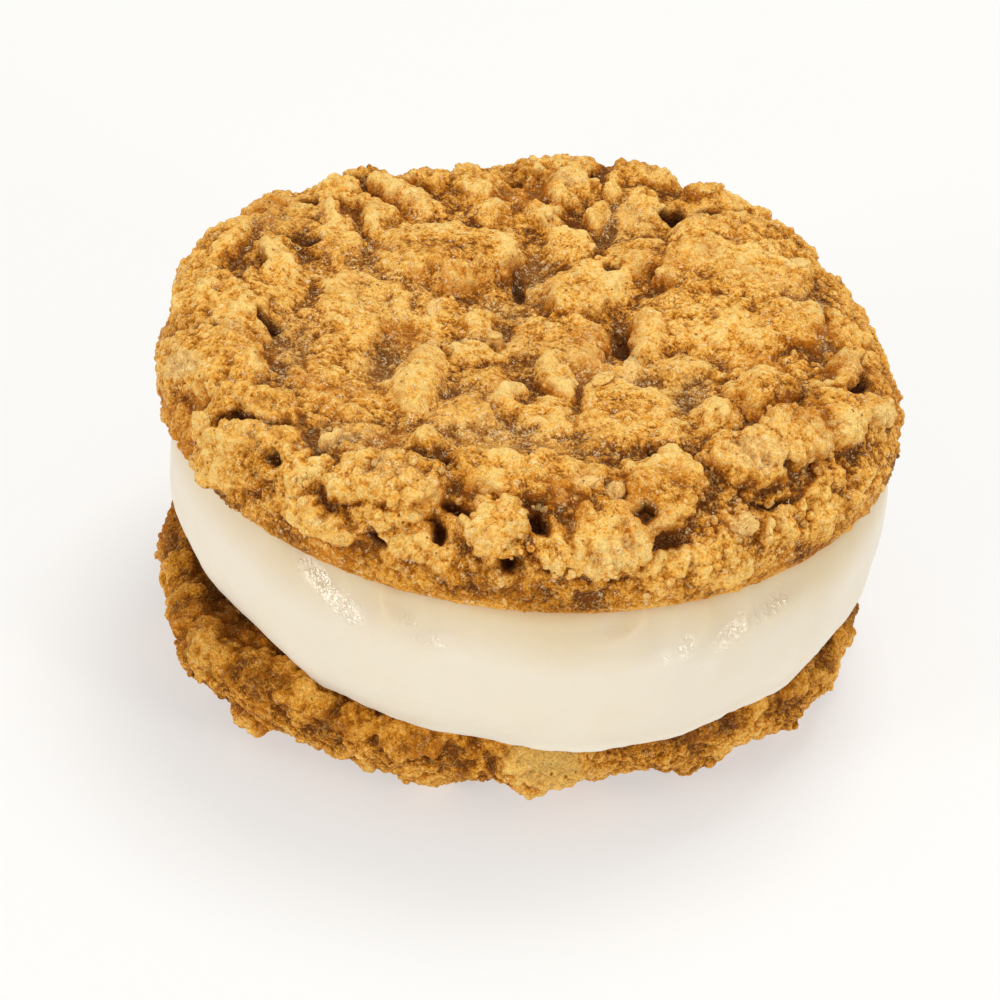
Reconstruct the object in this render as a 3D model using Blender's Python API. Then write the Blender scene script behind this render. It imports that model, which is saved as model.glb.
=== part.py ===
"""Oatmeal cream pie: two craggy oatmeal cookies with a thick band of cream.

Three solids, one above the other, +Z up, lengths below in millimetres:
    bottom_cookie  baked face down, flat face up, lumps flattened where it rests
    cream_filling  smooth band between the flat faces, bulging at its wall
    top_cookie     baked face up, sunken in the middle, cracked into plates

Each cookie is a rounded disc wrapped around an icosphere.  A point on its
baked side is named by its place on the surface unrolled flat from the middle:
the distance from the middle is the length of the way along the surface, so
the rim lies about 34 to 48 mm out.  The plates and hollows of the crust are
given in that unrolled view.
"""

import math
from dataclasses import dataclass

import bmesh
import bpy
import numpy as np

MM = 0.001

# ---- driving dimensions, mm ------------------------------------------------
GAP = 0.3                   # clearance between touching solids
CREAM_LOW = 13.3            # cream band, lower and upper face
CREAM_HIGH = 30.5
TOP_FACE = CREAM_HIGH + GAP      # flat face of the top cookie
BOTTOM_FACE = CREAM_LOW - GAP    # flat face of the bottom cookie

TOP_RADIUS = 40.2           # widest ring of the top cookie, before its relief
TOP_RING = 33.0             # height of that ring
TOP_CREST = 42.1            # height of the rounded rim, before its relief
TOP_CREST_LIFT = 1.1        # the rim stands this much higher at the back
TOP_MIDDLE = 40.1           # height of the sunken middle
TOP_SHOULDER = 10.0         # how far the rim rounds over
TOP_UNDERCUT = 0.9          # how far the flat face stays inside the ring
TOP_UNDER_BAND = 2.6        # unrolled width from the ring to the flat face
TOP_FIELD = 31.0            # the unrolled view: radius of the field inside
TOP_RIM = 17.2              # the rim, and width of the rim around it

BOTTOM_RADIUS = 38.4
BOTTOM_RING = 9.0
BOTTOM_CREST = 0.9          # lumps reach past this and are flattened at z = 0
BOTTOM_MIDDLE = 2.6
BOTTOM_SHOULDER = 12.0
BOTTOM_UNDERCUT = 3.0
BOTTOM_UNDER_BAND = 5.0
BOTTOM_FIELD = 27.0
BOTTOM_RIM = 17.2

CREAM_RADIUS = 41.0
CREAM_TUCK_HIGH = 1.3       # how far the wall draws in under the top cookie
CREAM_TUCK_LOW = 2.8        # and above the bottom cookie
CREAM_COLUMNS = 96
CREAM_ROWS = 11

COOKIE_DETAIL = 5           # icosphere subdivisions: 5120 triangles a cookie
FACE_WEIGHT = 0.30          # share of triangles kept on the hidden flat face
FADE_SHARE = 0.7            # part of the band under the ring that has relief

# the finished pie is centred on its box; this is where the box's middle was
CENTRE_X = -0.24
CENTRE_Y = 0.48

# swells of the outline: direction in degrees, half width in degrees, mm out
TOP_SWELLS = (
    (-88.0, 40.0, 1.3), (180.0, 18.0, 0.9),
    (146.0, 17.0, 2.3), (111.0, 12.0, -1.4), (76.0, 11.0, 2.2),
    (44.0, 12.0, 1.9), (19.0, 9.0, 0.6), (-8.0, 14.0, 0.8),
)
BOTTOM_SWELLS = (
    (180.0, 16.0, 1.9), (-144.0, 11.0, 3.3),
    (-118.0, 12.0, 0.6), (-90.0, 9.0, -1.4), (-67.0, 7.0, -2.0),
    (-50.0, 8.0, -0.7), (-25.0, 12.0, 0.8), (8.0, 16.0, 1.4),
    (75.0, 25.0, 0.8), (125.0, 15.0, -0.6),
)
CREAM_SWELLS = (
    (-68.0, 16.0, 1.1), (-100.0, 18.0, 0.7), (-148.0, 18.0, -1.6),
    (180.0, 14.0, -0.8), (60.0, 30.0, -0.6), (120.0, 22.0, -0.4),
)
CREAM_INSETS = (            # extra draw-in of the wall's lower part
    (-146.0, 22.0, 1.9), (-180.0, 16.0, 0.8), (-75.0, 14.0, -0.8),
)


@dataclass(frozen=True)
class Plate:
    """A raised piece of crust, in the unrolled view of the baked face.

    x, y      middle, mm
    a, b      half length along the turned x axis, half width across it, mm
    turn      direction of the half length, degrees
    rise      height over the crust around it, mm (negative for a hollow)
    dome      0 for a flat plate with a crisp edge, 1 for a round ball
    """

    x: float
    y: float
    a: float
    b: float
    turn: float
    rise: float
    dome: float = 0.35


TOP_PLATES = (
    # rim, from the left round the front to the right
    Plate(-35.5, -3.5, 7.0, 5.0, -42, 2.2),
    Plate(-35.0, -14.0, 8.0, 4.8, -38, 2.7),
    Plate(-41.0, -20.5, 3.5, 3.0, -50, 0.9),
    Plate(-34.6, -22.6, 3.6, 2.0, 22, 2.2),
    Plate(-29.0, -23.0, 5.6, 2.8, -36, 2.7),
    Plate(-30.5, -29.3, 9.6, 4.2, -23, 2.4),
    Plate(-24.6, -33.8, 5.4, 2.3, 14, 2.1),
    Plate(-33.5, -33.6, 5.0, 2.2, -42, 0.7),
    Plate(-21.6, -38.4, 6.2, 2.4, -30, 2.6),
    Plate(-14.0, -34.4, 6.6, 3.3, -8, 2.8),
    Plate(-14.0, -38.8, 4.2, 2.2, -5, 2.0),
    Plate(-11.8, -43.0, 5.0, 2.4, -14, 1.0),
    Plate(1.5, -33.0, 11.0, 3.2, 0, 1.9),
    Plate(-2.3, -39.4, 3.5, 4.2, 0, 3.1, 0.6),
    Plate(3.8, -41.3, 2.6, 2.8, 0, 2.8, 0.6),
    Plate(9.2, -39.4, 5.4, 4.4, 42, 3.1, 0.5),
    Plate(-5.0, -45.0, 5.0, 1.8, -6, 0.9),
    Plate(6.5, -45.2, 4.5, 1.6, 5, 1.1),
    Plate(14.6, -31.8, 5.4, 4.4, 78, 2.8, 0.45),
    Plate(16.2, -41.0, 3.6, 2.8, 25, 1.0),
    Plate(22.5, -38.8, 4.2, 3.4, 30, 1.4),
    Plate(23.8, -34.0, 1.9, 1.4, 20, 1.7, 0.7),
    Plate(23.4, -25.6, 5.4, 3.3, 20, 2.9),
    Plate(28.4, -20.6, 5.2, 3.2, 48, 3.0),
    Plate(32.6, -15.0, 5.0, 3.6, 62, 3.0),
    Plate(37.8, -10.8, 4.6, 1.8, 31, 2.2),
    Plate(39.0, -5.4, 3.8, 3.0, 60, 0.6),
    Plate(33.0, -23.0, 3.0, 2.2, 50, 1.5),
    Plate(38.2, -21.0, 4.6, 2.4, 62, 1.2),
    Plate(33.5, -28.5, 5.0, 3.2, 48, 1.0),
    # inner field, left to right and front to back
    Plate(-29.2, 3.2, 7.6, 3.0, 91, 1.8),
    Plate(-37.0, 8.5, 8.5, 4.0, 66, 2.2),
    Plate(-30.2, 15.0, 4.2, 4.0, 20, 0.6),
    Plate(-22.6, 11.2, 5.0, 2.6, 88, 1.5),
    Plate(-18.6, 15.4, 3.8, 1.9, 82, 2.1, 0.6),
    Plate(-10.8, 11.6, 8.4, 6.0, 8, 2.7, 0.5),
    Plate(-19.4, -1.0, 7.6, 5.2, 92, 0.9),
    Plate(-7.0, -1.6, 3.0, 2.2, 90, 1.2, 0.7),
    Plate(-4.7, -4.9, 2.0, 1.2, 90, 1.3, 0.9),
    Plate(3.0, -3.2, 6.6, 5.6, 80, 1.5),
    Plate(12.6, -1.0, 4.6, 2.5, 86, 2.2, 0.6),
    Plate(5.6, 8.4, 6.2, 4.2, 66, 2.1),
    Plate(3.0, 16.0, 3.8, 3.0, 80, 1.7, 0.5),
    Plate(11.2, 14.6, 4.4, 3.2, 5, 2.2, 0.5),
    Plate(22.5, 14.5, 10.0, 8.6, 60, 2.6),
    Plate(21.5, 2.6, 10.4, 6.4, -4, 2.0),
    Plate(34.0, -5.4, 4.6, 2.0, 78, 2.4, 0.5),
    Plate(16.6, -8.0, 3.0, 2.6, 90, 1.6, 0.7),
    Plate(10.9, -9.2, 3.0, 1.3, 85, 0.9),
    Plate(25.0, -13.4, 5.0, 4.1, 88, 3.5, 0.95),
    Plate(19.6, -19.0, 4.3, 2.6, 88, 1.9, 0.7),
    Plate(-7.0, -8.2, 3.6, 2.5, 5, 1.3),
    Plate(-11.6, -15.6, 7.2, 3.0, 86, 2.3),
    Plate(-6.0, -13.8, 3.4, 3.2, 0, 0.9),
    Plate(-2.6, -17.4, 3.3, 2.2, 84, 1.4, 0.6),
    Plate(2.6, -12.4, 5.2, 2.2, 104, 2.2, 0.6),
    Plate(10.2, -19.6, 7.2, 5.4, 84, 1.7),
    Plate(2.0, -20.6, 4.0, 3.4, 80, 1.1),
    Plate(-7.2, -21.2, 3.2, 3.0, 0, 1.0),
    Plate(-10.0, -28.6, 2.9, 1.9, 90, 1.7, 0.8),
    # back
    Plate(2.0, 26.8, 3.6, 3.0, 15, 2.6),
    Plate(-0.6, 22.0, 2.6, 2.4, 0, 1.6, 0.6),
    Plate(-6.6, 21.8, 3.2, 2.2, 70, 1.6, 0.6),
    Plate(-8.4, 27.6, 4.0, 3.2, 80, 1.5),
    Plate(-14.0, 27.6, 3.2, 2.8, 40, 1.3),
    Plate(-17.0, 22.4, 4.4, 2.7, -24, 2.4),
    Plate(-24.4, 22.4, 3.6, 3.0, 30, 1.5),
    Plate(6.4, 22.0, 3.2, 1.5, 86, 1.9, 0.6),
    Plate(7.4, 28.6, 3.8, 1.7, 80, 1.6, 0.6),
    Plate(10.8, 24.0, 5.4, 2.8, 82, 0.9),
    Plate(19.6, 29.4, 4.8, 2.2, -8, 1.6),
    Plate(10.4, 33.6, 4.2, 3.8, 20, 1.9),
    Plate(1.0, 33.0, 4.8, 3.2, 0, 1.7),
)

TOP_HOLLOWS = (
    Plate(-17.0, -27.5, 4.2, 2.4, 0, -1.3),
    Plate(-16.2, -12.6, 4.2, 1.9, 88, -1.4),
    Plate(-1.6, 9.6, 4.4, 1.8, 84, -1.3),
    Plate(9.4, -0.8, 4.0, 1.7, 96, -2.3),
    Plate(8.0, -11.4, 2.2, 2.0, 0, -1.3),
    Plate(12.2, -11.2, 3.6, 1.8, 92, -1.1),
    Plate(17.2, -14.0, 4.8, 1.6, 88, -1.0),
    Plate(16.4, 23.4, 2.8, 2.2, 62, -2.6),
    Plate(15.6, -38.0, 3.4, 1.6, 20, -2.2),
    Plate(-2.0, -25.2, 8.0, 3.2, 0, -0.6),
    Plate(-26.6, -11.5, 7.5, 2.6, 88, -0.8),
)

BOTTOM_PLATES = (
    Plate(-45.0, -14.0, 4.0, 2.6, -70, 1.2),
    Plate(-41.5, -22.0, 4.6, 2.8, -60, 1.5),
    Plate(-36.0, -28.5, 4.8, 3.0, -50, 1.6),
    Plate(-31.5, -36.0, 5.0, 3.0, -38, 1.5),
    Plate(-25.5, -39.0, 4.4, 2.8, -34, 1.5),
    Plate(-18.5, -42.0, 3.4, 2.6, -30, 1.1),
    Plate(-10.5, -45.0, 5.0, 2.6, -12, 1.4),
    Plate(0.8, -45.6, 2.6, 2.2, 0, 0.8),
    Plate(7.4, -45.6, 4.8, 2.6, 12, 1.7),
    Plate(14.5, -44.6, 2.6, 1.8, 14, 0.9),
    Plate(20.5, -42.2, 5.0, 2.2, 26, 1.2),
    Plate(27.0, -38.4, 4.6, 2.2, 34, 1.1),
    Plate(34.0, -33.0, 5.0, 2.4, 46, 1.4),
    Plate(40.0, -26.0, 4.0, 2.2, 58, 1.3),
    Plate(44.0, -17.5, 3.6, 2.0, 66, 1.0),
)


# ---- noise -----------------------------------------------------------------
def _hash(ix, iy, iz, seed):
    """Pseudo-random numbers in -1..1, the same for the same cell."""
    h = (ix * 374761393 + iy * 668265263 + iz * 2147483647 + seed * 144665) & 0xFFFFFFFF
    h = ((h ^ (h >> 13)) * 1274126177) & 0xFFFFFFFF
    h = ((h ^ (h >> 16)) * 2246822519) & 0xFFFFFFFF
    return ((h ^ (h >> 15)) & 0xFFFFFF) / 8388607.5 - 1.0


def smooth_noise(p, seed=0):
    """Gradient noise, about -1..1, at the points p (n x 3)."""
    cell = np.floor(p).astype(np.int64)
    f = p - cell
    w = f * f * f * (f * (f * 6.0 - 15.0) + 10.0)
    total = np.zeros(len(p))
    for dx in (0, 1):
        for dy in (0, 1):
            for dz in (0, 1):
                ix, iy, iz = cell[:, 0] + dx, cell[:, 1] + dy, cell[:, 2] + dz
                slope = (_hash(ix, iy, iz, seed) * (f[:, 0] - dx)
                         + _hash(ix, iy, iz, seed + 71) * (f[:, 1] - dy)
                         + _hash(ix, iy, iz, seed + 173) * (f[:, 2] - dz))
                total += (slope * (w[:, 0] if dx else 1.0 - w[:, 0])
                          * (w[:, 1] if dy else 1.0 - w[:, 1])
                          * (w[:, 2] if dz else 1.0 - w[:, 2]))
    return total * 1.3


def smoothstep(t):
    t = np.clip(t, 0.0, 1.0)
    return t * t * (3.0 - 2.0 * t)


# ---- form ------------------------------------------------------------------
def swell(theta, swells):
    """Sum of soft bumps around the outline, theta in radians."""
    out = np.zeros_like(theta)
    for at, half, size in swells:
        away = (np.degrees(theta) - at + 180.0) % 360.0 - 180.0
        out += size * np.exp(-0.5 * (away / half) ** 2)
    return out


def disc_section(radius, ring, crest, middle, shoulder, undercut, face,
                 field, rim, under_band):
    """Half section of a cookie: (r, height, unrolled distance) from the baked
    middle, over the crest and round the ring, to the middle of the flat face.
    Works for both cookies, whichever way up: the heights carry the direction.
    """
    r0 = radius - shoulder
    inner = np.linspace(0.0, 1.0, 60)
    quarter = np.linspace(0.0, math.pi / 2, 40)[1:]
    r = [r0 * inner, r0 + shoulder * np.sin(quarter),
         radius - undercut * (1.0 - np.cos(quarter)),
         (radius - undercut) * (1.0 - inner[1:])]
    z = [middle + (crest - middle) * np.sin(inner * math.pi / 2) ** 2,
         ring + (crest - ring) * np.cos(quarter),
         ring + (face - ring) * np.sin(quarter),
         np.full(len(inner) - 1, face)]
    part = quarter / (math.pi / 2)
    s = [field * inner, field + rim * part, field + rim + under_band * part,
         field + rim + under_band + (radius - undercut) * inner[1:]]
    return np.concatenate(r), np.concatenate(z), np.concatenate(s)


def plate_height(x, y, q, plates, seed, softness):
    """Highest plate over each unrolled point, with its edges torn by noise."""
    tear = smooth_noise(q / 4.2, seed) * 1.1 + smooth_noise(q / 1.9, seed + 5) * 0.5
    best = np.zeros(len(x))
    for n, p in enumerate(plates):
        c, s = math.cos(math.radians(p.turn)), math.sin(math.radians(p.turn))
        u, v = (x - p.x) * c + (y - p.y) * s, (y - p.y) * c - (x - p.x) * s
        d = np.sqrt((u / p.a) ** 2 + (v / p.b) ** 2) + 1e-9
        size = np.hypot(u, v) / d                       # radius in this direction
        inside = (1.0 - d) * size + 0.5 * tear          # mm inside the edge
        flat = smoothstep(inside / softness + 0.5)
        ball = np.sqrt(np.clip(1.0 - (d * 0.93) ** 2, 0.0, 1.0))
        lean = 1.0 + 0.18 * math.sin(n * 2.4) * u / p.a + 0.18 * math.cos(n * 1.7) * v / p.b
        best = np.maximum(best, p.rise * lean * flat * ((1.0 - p.dome) + p.dome * ball))
    return best


def hollow_depth(x, y, hollows):
    out = np.zeros(len(x))
    for p in hollows:
        c, s = math.cos(math.radians(p.turn)), math.sin(math.radians(p.turn))
        u, v = (x - p.x) * c + (y - p.y) * s, (y - p.y) * c - (x - p.x) * s
        out += p.rise * np.exp(-((u / p.a) ** 2 + (v / p.b) ** 2) ** 1.5)
    return out


def scattered_plates(count, inner, outer, seed, skip=None):
    """Plates for the parts of the crust that have none of their own, spread
    evenly by the golden angle and shifted by noise."""
    made = []
    for n in range(count):
        t = (n + 0.5) / count
        s = math.sqrt(inner ** 2 + (outer ** 2 - inner ** 2) * t)
        a = n * math.radians(137.507764)
        jig = _hash(np.array([n]), np.array([seed]), np.array([3]), seed)[0]
        jog = _hash(np.array([n]), np.array([seed]), np.array([9]), seed)[0]
        x, y = s * math.cos(a) + 1.5 * jig, s * math.sin(a) + 1.5 * jog
        if skip and skip(x, y):
            continue
        made.append(Plate(x, y, 3.7 + 1.4 * jog, 2.7 + 0.8 * jig,
                          90.0 * (jig + jog), 1.3 + 0.7 * jig * jog + 0.3 * jig,
                          0.45))
    return tuple(made)


class Cookie:
    """One cookie: a section, an outline, and the relief of its baked side."""

    def __init__(self, section, under_band, swells, plates, hollows, seed, floor,
                 lift=0.0):
        self.r, self.z, self.s = section
        self.fade = FADE_SHARE * under_band     # the relief ends under the ring
        self.swells, self.plates, self.hollows = swells, plates, hollows
        self.seed, self.floor, self.lift = seed, floor, lift
        self.s_ring = self.s[int(np.argmax(self.r))]
        self.up = 1.0 if self.z[0] > self.z[-1] else -1.0
        weight = np.where(self.s > self.s_ring + self.fade, FACE_WEIGHT, 1.0)
        length = np.hypot(np.gradient(self.r), np.gradient(self.z))
        area = weight * (self.r + 0.02) * length
        self.share = np.concatenate(([0.0], np.cumsum(area[1:]))) / area[1:].sum()

    def place(self, ball):
        """Surface points for points of the unit sphere (n x 3)."""
        theta = np.arctan2(ball[:, 1], ball[:, 0])
        s = np.interp((1.0 - ball[:, 2]) / 2.0, self.share, self.s)
        r, z = np.interp(s, self.s, self.r), np.interp(s, self.s, self.z)
        dr = np.interp(s, self.s, np.gradient(self.r, self.s))
        dz = np.interp(s, self.s, np.gradient(self.z, self.s))
        steep = np.hypot(dr, dz)
        dr, dz = dr / steep, dz / steep
        z = z + (self.lift * np.clip(np.sin(theta), 0.0, 1.0)
                 * smoothstep(s / 26.0) * smoothstep((self.s_ring - s) / 14.0))
        grow = smoothstep((r - 14.0) / 24.0)
        r_out = r + swell(theta, self.swells) * grow
        base = np.stack([r_out * np.cos(theta), r_out * np.sin(theta), z], 1)
        nr, nz = -dz * self.up, dr * self.up
        normal = np.stack([nr * np.cos(theta), nr * np.sin(theta), nz], 1)
        relief = self.relief(s * np.cos(theta), s * np.sin(theta), base)
        baked = smoothstep((self.s_ring + self.fade - s) / self.fade)
        point = base + normal * (relief * baked)[:, None]
        if self.up > 0:
            point[:, 2] = np.maximum(point[:, 2], self.floor)
        else:
            point[:, 2] = np.clip(point[:, 2], 0.0, self.floor)
        return point

    def relief(self, x, y, q):
        high = plate_height(x, y, q, self.plates, self.seed, 2.4)
        low = hollow_depth(x, y, self.hollows)
        rough = (0.45 * smooth_noise(q / 5.5, self.seed + 20)
                 + 0.25 * smooth_noise(q / 2.6, self.seed + 21))
        return high + low + rough


# ---- solids ----------------------------------------------------------------
def clear_scene():
    for obj in list(bpy.data.objects):
        bpy.data.objects.remove(obj, do_unlink=True)


def material(name, colour, roughness):
    mat = bpy.data.materials.new(name)
    mat.use_nodes = True
    shader = mat.node_tree.nodes["Principled BSDF"]
    shader.inputs["Base Color"].default_value = (*colour, 1.0)
    shader.inputs["Roughness"].default_value = roughness
    shader.inputs["Metallic"].default_value = 0.0
    mat.diffuse_color = (*colour, 1.0)
    return mat


def finish(name, bm, mat):
    """Turn a bmesh in mm into an object in metres, centred on the box."""
    bmesh.ops.translate(bm, verts=bm.verts, vec=(-CENTRE_X, -CENTRE_Y, 0.0))
    bmesh.ops.scale(bm, verts=bm.verts, vec=(MM, MM, MM))
    bmesh.ops.recalc_face_normals(bm, faces=bm.faces)
    mesh = bpy.data.meshes.new(name)
    bm.to_mesh(mesh)
    bm.free()
    mesh.materials.append(mat)
    mesh.shade_smooth()
    obj = bpy.data.objects.new(name, mesh)
    bpy.context.scene.collection.objects.link(obj)
    return obj


def build_cookie(name, cookie, mat):
    bm = bmesh.new()
    bmesh.ops.create_icosphere(bm, subdivisions=COOKIE_DETAIL, radius=1.0)
    ball = np.array([v.co[:] for v in bm.verts])
    ball /= np.linalg.norm(ball, axis=1)[:, None]
    for vert, point in zip(bm.verts, cookie.place(ball)):
        vert.co = point
    return finish(name, bm, mat)


def cream_wall(theta, u):
    """Radius of the cream at height u, -1 at its lower and 1 at its upper
    face: a soft bulge, drawn in more where the bottom cookie sticks out."""
    radius = CREAM_RADIUS + swell(theta, CREAM_SWELLS)
    tuck = np.where(u < 0.0, CREAM_TUCK_LOW + swell(theta, CREAM_INSETS),
                    CREAM_TUCK_HIGH)
    ripple = 0.22 * np.sin(9.0 * theta + 1.0) + 0.14 * np.sin(17.0 * theta + 2.0 + 1.5 * u)
    return radius - tuck * np.abs(u) ** 2.8 + ripple * (0.4 - 0.6 * u)


def build_cream(name, mat):
    bm = bmesh.new()
    mid, half = (CREAM_LOW + CREAM_HIGH) / 2, (CREAM_HIGH - CREAM_LOW) / 2
    theta = np.linspace(0.0, 2.0 * math.pi, CREAM_COLUMNS, endpoint=False)
    rings = []
    for row in range(CREAM_ROWS):
        u = math.sin(math.pi / 2 * (2.0 * row / (CREAM_ROWS - 1) - 1.0))
        wall = cream_wall(theta, np.full_like(theta, u))
        rings.append([bm.verts.new((r * math.cos(t), r * math.sin(t), mid + half * u))
                      for r, t in zip(wall, theta)])
    for low, high in zip(rings, rings[1:]):
        for n in range(CREAM_COLUMNS):
            m = (n + 1) % CREAM_COLUMNS
            bm.faces.new((low[n], low[m], high[m], high[n]))
    bm.faces.new(list(reversed(rings[0])))
    bm.faces.new(rings[-1])
    return finish(name, bm, mat)


def main():
    clear_scene()
    top = Cookie(
        disc_section(TOP_RADIUS, TOP_RING, TOP_CREST, TOP_MIDDLE,
                     TOP_SHOULDER, TOP_UNDERCUT, TOP_FACE, TOP_FIELD, TOP_RIM,
                     TOP_UNDER_BAND),
        TOP_UNDER_BAND, TOP_SWELLS,
        TOP_PLATES + scattered_plates(46, 31.0, 47.0, 4,
                                      lambda x, y: y < 14.0 + 0.25 * abs(x)),
        TOP_HOLLOWS, 11, TOP_FACE, TOP_CREST_LIFT)
    bottom = Cookie(
        disc_section(BOTTOM_RADIUS, BOTTOM_RING, BOTTOM_CREST, BOTTOM_MIDDLE,
                     BOTTOM_SHOULDER, BOTTOM_UNDERCUT, BOTTOM_FACE,
                     BOTTOM_FIELD, BOTTOM_RIM, BOTTOM_UNDER_BAND),
        BOTTOM_UNDER_BAND, BOTTOM_SWELLS,
        BOTTOM_PLATES + scattered_plates(84, 3.0, 44.0, 8,
                                         lambda x, y: math.hypot(x, y) > 38.0
                                         and y < -8.0),
        (), 37, BOTTOM_FACE)
    crust = material("oat_crust", (0.47, 0.22, 0.055), 0.75)
    crust_low = material("oat_crust_low", (0.42, 0.19, 0.045), 0.78)
    cream = material("cream", (0.86, 0.78, 0.62), 0.35)
    build_cookie("top_cookie", top, crust)
    build_cream("cream_filling", cream)
    build_cookie("bottom_cookie", bottom, crust_low)


if __name__ == "__main__":
    main()
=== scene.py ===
"""Looks of an oatmeal cream pie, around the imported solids.

The three solids keep their places.  A finer mesh of the same form stands for
each: two craggy oat cookies, with torn crust plates, cracks, crumbs and oat
flakes, and a smooth moist band of cream between them.

Lengths are in millimetres in the classes below and become metres when a mesh
is handed over.  A place on a cookie's baked side is given in the unrolled
view: x and y are the distance from the middle along the surface, -y towards
the camera.
"""

import logging
import math
from collections.abc import Callable
from dataclasses import dataclass
from enum import Enum
from itertools import product

import bmesh
import bpy
import numpy as np
from mathutils import Matrix, Vector


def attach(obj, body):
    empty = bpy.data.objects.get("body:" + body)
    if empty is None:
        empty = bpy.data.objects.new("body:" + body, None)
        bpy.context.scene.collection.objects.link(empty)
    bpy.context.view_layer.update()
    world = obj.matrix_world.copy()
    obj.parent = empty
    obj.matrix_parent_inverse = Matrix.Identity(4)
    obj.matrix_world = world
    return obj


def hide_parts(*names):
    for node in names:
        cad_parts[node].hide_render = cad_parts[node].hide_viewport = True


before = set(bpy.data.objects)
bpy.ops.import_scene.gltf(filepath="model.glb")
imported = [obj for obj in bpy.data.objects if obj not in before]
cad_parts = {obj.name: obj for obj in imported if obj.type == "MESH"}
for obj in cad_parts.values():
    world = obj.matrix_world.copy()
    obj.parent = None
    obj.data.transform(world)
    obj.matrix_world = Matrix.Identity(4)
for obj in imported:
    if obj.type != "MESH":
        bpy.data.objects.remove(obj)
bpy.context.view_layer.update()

MM = 0.001
CENTRE = np.array([-0.24, 0.48, 0.0])   # middle of the outline before it was centred

log = logging.getLogger("cream_pie")

Array = np.ndarray
Colour = tuple[float, float, float]
Swell = tuple[float, float, float]
Layer = tuple[float | tuple[float, float, float], int, float]

# layers of soft noise: size of the patches in mm, shift of the seed, strength
TEAR = ((4.2, 0, 0.75), (1.9, 5, 0.55), (0.9, 6, 0.25))             # tears a plate's edge
BEND_X = ((6.0, 50, 1.3), (2.4, 52, 0.5))                           # moves plates about
BEND_Y = ((6.0, 51, 1.3), (2.4, 53, 0.5))
FOLDS = (((7.0, 7.0, 11.0), 3, 0.22), ((3.0, 3.0, 5.0), 4, 0.1), (1.1, 5, 0.03))   # cream
LIP = ((4.0, 6, 0.45), (1.4, 7, 0.2))                               # the cream's lower edge

# spacing of the crust's three sizes of round grain, mm
LUMP_GRAIN, CRUMB_GRAIN, SAND_GRAIN = 2.7, 1.25, 0.72
GRAIN_SHIFT = 0.45      # how far a grain lies from the middle of its cell, in cells
GRAIN_REACH = 0.75      # radius of a grain, in cells
GOLDEN_ANGLE = math.radians(137.507764)

# size of the patches of the crust's other noise, mm
EDGE_PATCH = 6.5        # where the plates' edges are soft
ROLLING = 5.5           # the ground between the plates
RIDGES = 3.1            # sharp ridges in it
WARP = 3.1              # bends the grains
OWN_LEAN = 0.2          # how lopsided a plate is, as a share of its rise

# how often a mesh is evened out, and how often smoothed to measure relief against it
EVEN_ROUNDS, WIDE_ROUNDS, FINE_ROUNDS = 5, 70, 5


# ---- noise and small helpers -----------------------------------------------
def hashed(ix: Array, iy: Array, iz: Array, seed: int) -> Array:
    """Gives every whole-numbered cell its own number.

    Args:
        ix, iy, iz: Cell numbers.
        seed: Picks one of many such fields.

    Returns:
        Numbers from -1 to 1.
    """
    h = (ix * 374761393 + iy * 668265263 + iz * 2147483647 + seed * 144665) & 0xFFFFFFFF
    h = ((h ^ (h >> 13)) * 1274126177) & 0xFFFFFFFF
    h = ((h ^ (h >> 16)) * 2246822519) & 0xFFFFFFFF
    return ((h ^ (h >> 15)) & 0xFFFFFF) / 8388607.5 - 1.0


def drift(p: Array, seed: int) -> Array:
    """Soft gradient noise.

    Args:
        p: Points, n by 3, one cell to a unit.
        seed: Picks the field.

    Returns:
        One number a point, about -1 to 1.
    """
    cell = np.floor(p).astype(np.int64)
    part = p - cell
    fade = part * part * part * (part * (part * 6.0 - 15.0) + 10.0)
    total = np.zeros(len(p))
    for step in product((0, 1), repeat=3):
        corner = [cell[:, k] + step[k] for k in range(3)]
        slope = sum(hashed(*corner, seed + shift) * (part[:, k] - step[k])
                    for k, shift in enumerate((0, 71, 173)))
        for k in range(3):
            slope = slope * (fade[:, k] if step[k] else 1.0 - fade[:, k])
        total += slope
    return total * 1.3


def layered(p: Array, seed: int, layers: tuple[Layer, ...]) -> Array:
    """Sums layers of soft noise.

    Args:
        p: Points, n by 3, mm.
        seed: Picks the fields.
        layers: Size of the patches, shift of the seed and strength of each.

    Returns:
        One number a point.
    """
    return sum(drift(p / np.array(size), seed + shift) * strength
               for size, shift, strength in layers)


def domes(p: Array, seed: int) -> Array:
    """Packed round grains, one about each of many scattered points.

    Args:
        p: Points, n by 3, one grain to a unit.
        seed: Picks the field.

    Returns:
        0 in the creases to 1 on the tops.
    """
    cell = np.floor(p).astype(np.int64)
    nearest = np.full(len(p), 9.0)
    for step in product((-1, 0, 1), repeat=3):
        beside = [cell[:, k] + step[k] for k in range(3)]
        away = np.sqrt(sum(
            (beside[k] + 0.5 + GRAIN_SHIFT * hashed(*beside, seed + shift) - p[:, k]) ** 2
            for k, shift in enumerate((0, 7, 13))))
        nearest = np.minimum(nearest, away)
    return np.clip(1.0 - (nearest / GRAIN_REACH) ** 2, 0.0, 1.0)


def smooth(t: Array) -> Array:
    """Soft step from 0 to 1 while t goes from 0 to 1."""
    t = np.clip(t, 0.0, 1.0)
    return t * t * (3.0 - 2.0 * t)


def turned_from(theta: Array, degrees: float) -> Array:
    """Angle from one direction to others, -180 to 180 degrees."""
    return (np.degrees(theta) - degrees + 180.0) % 360.0 - 180.0


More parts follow.
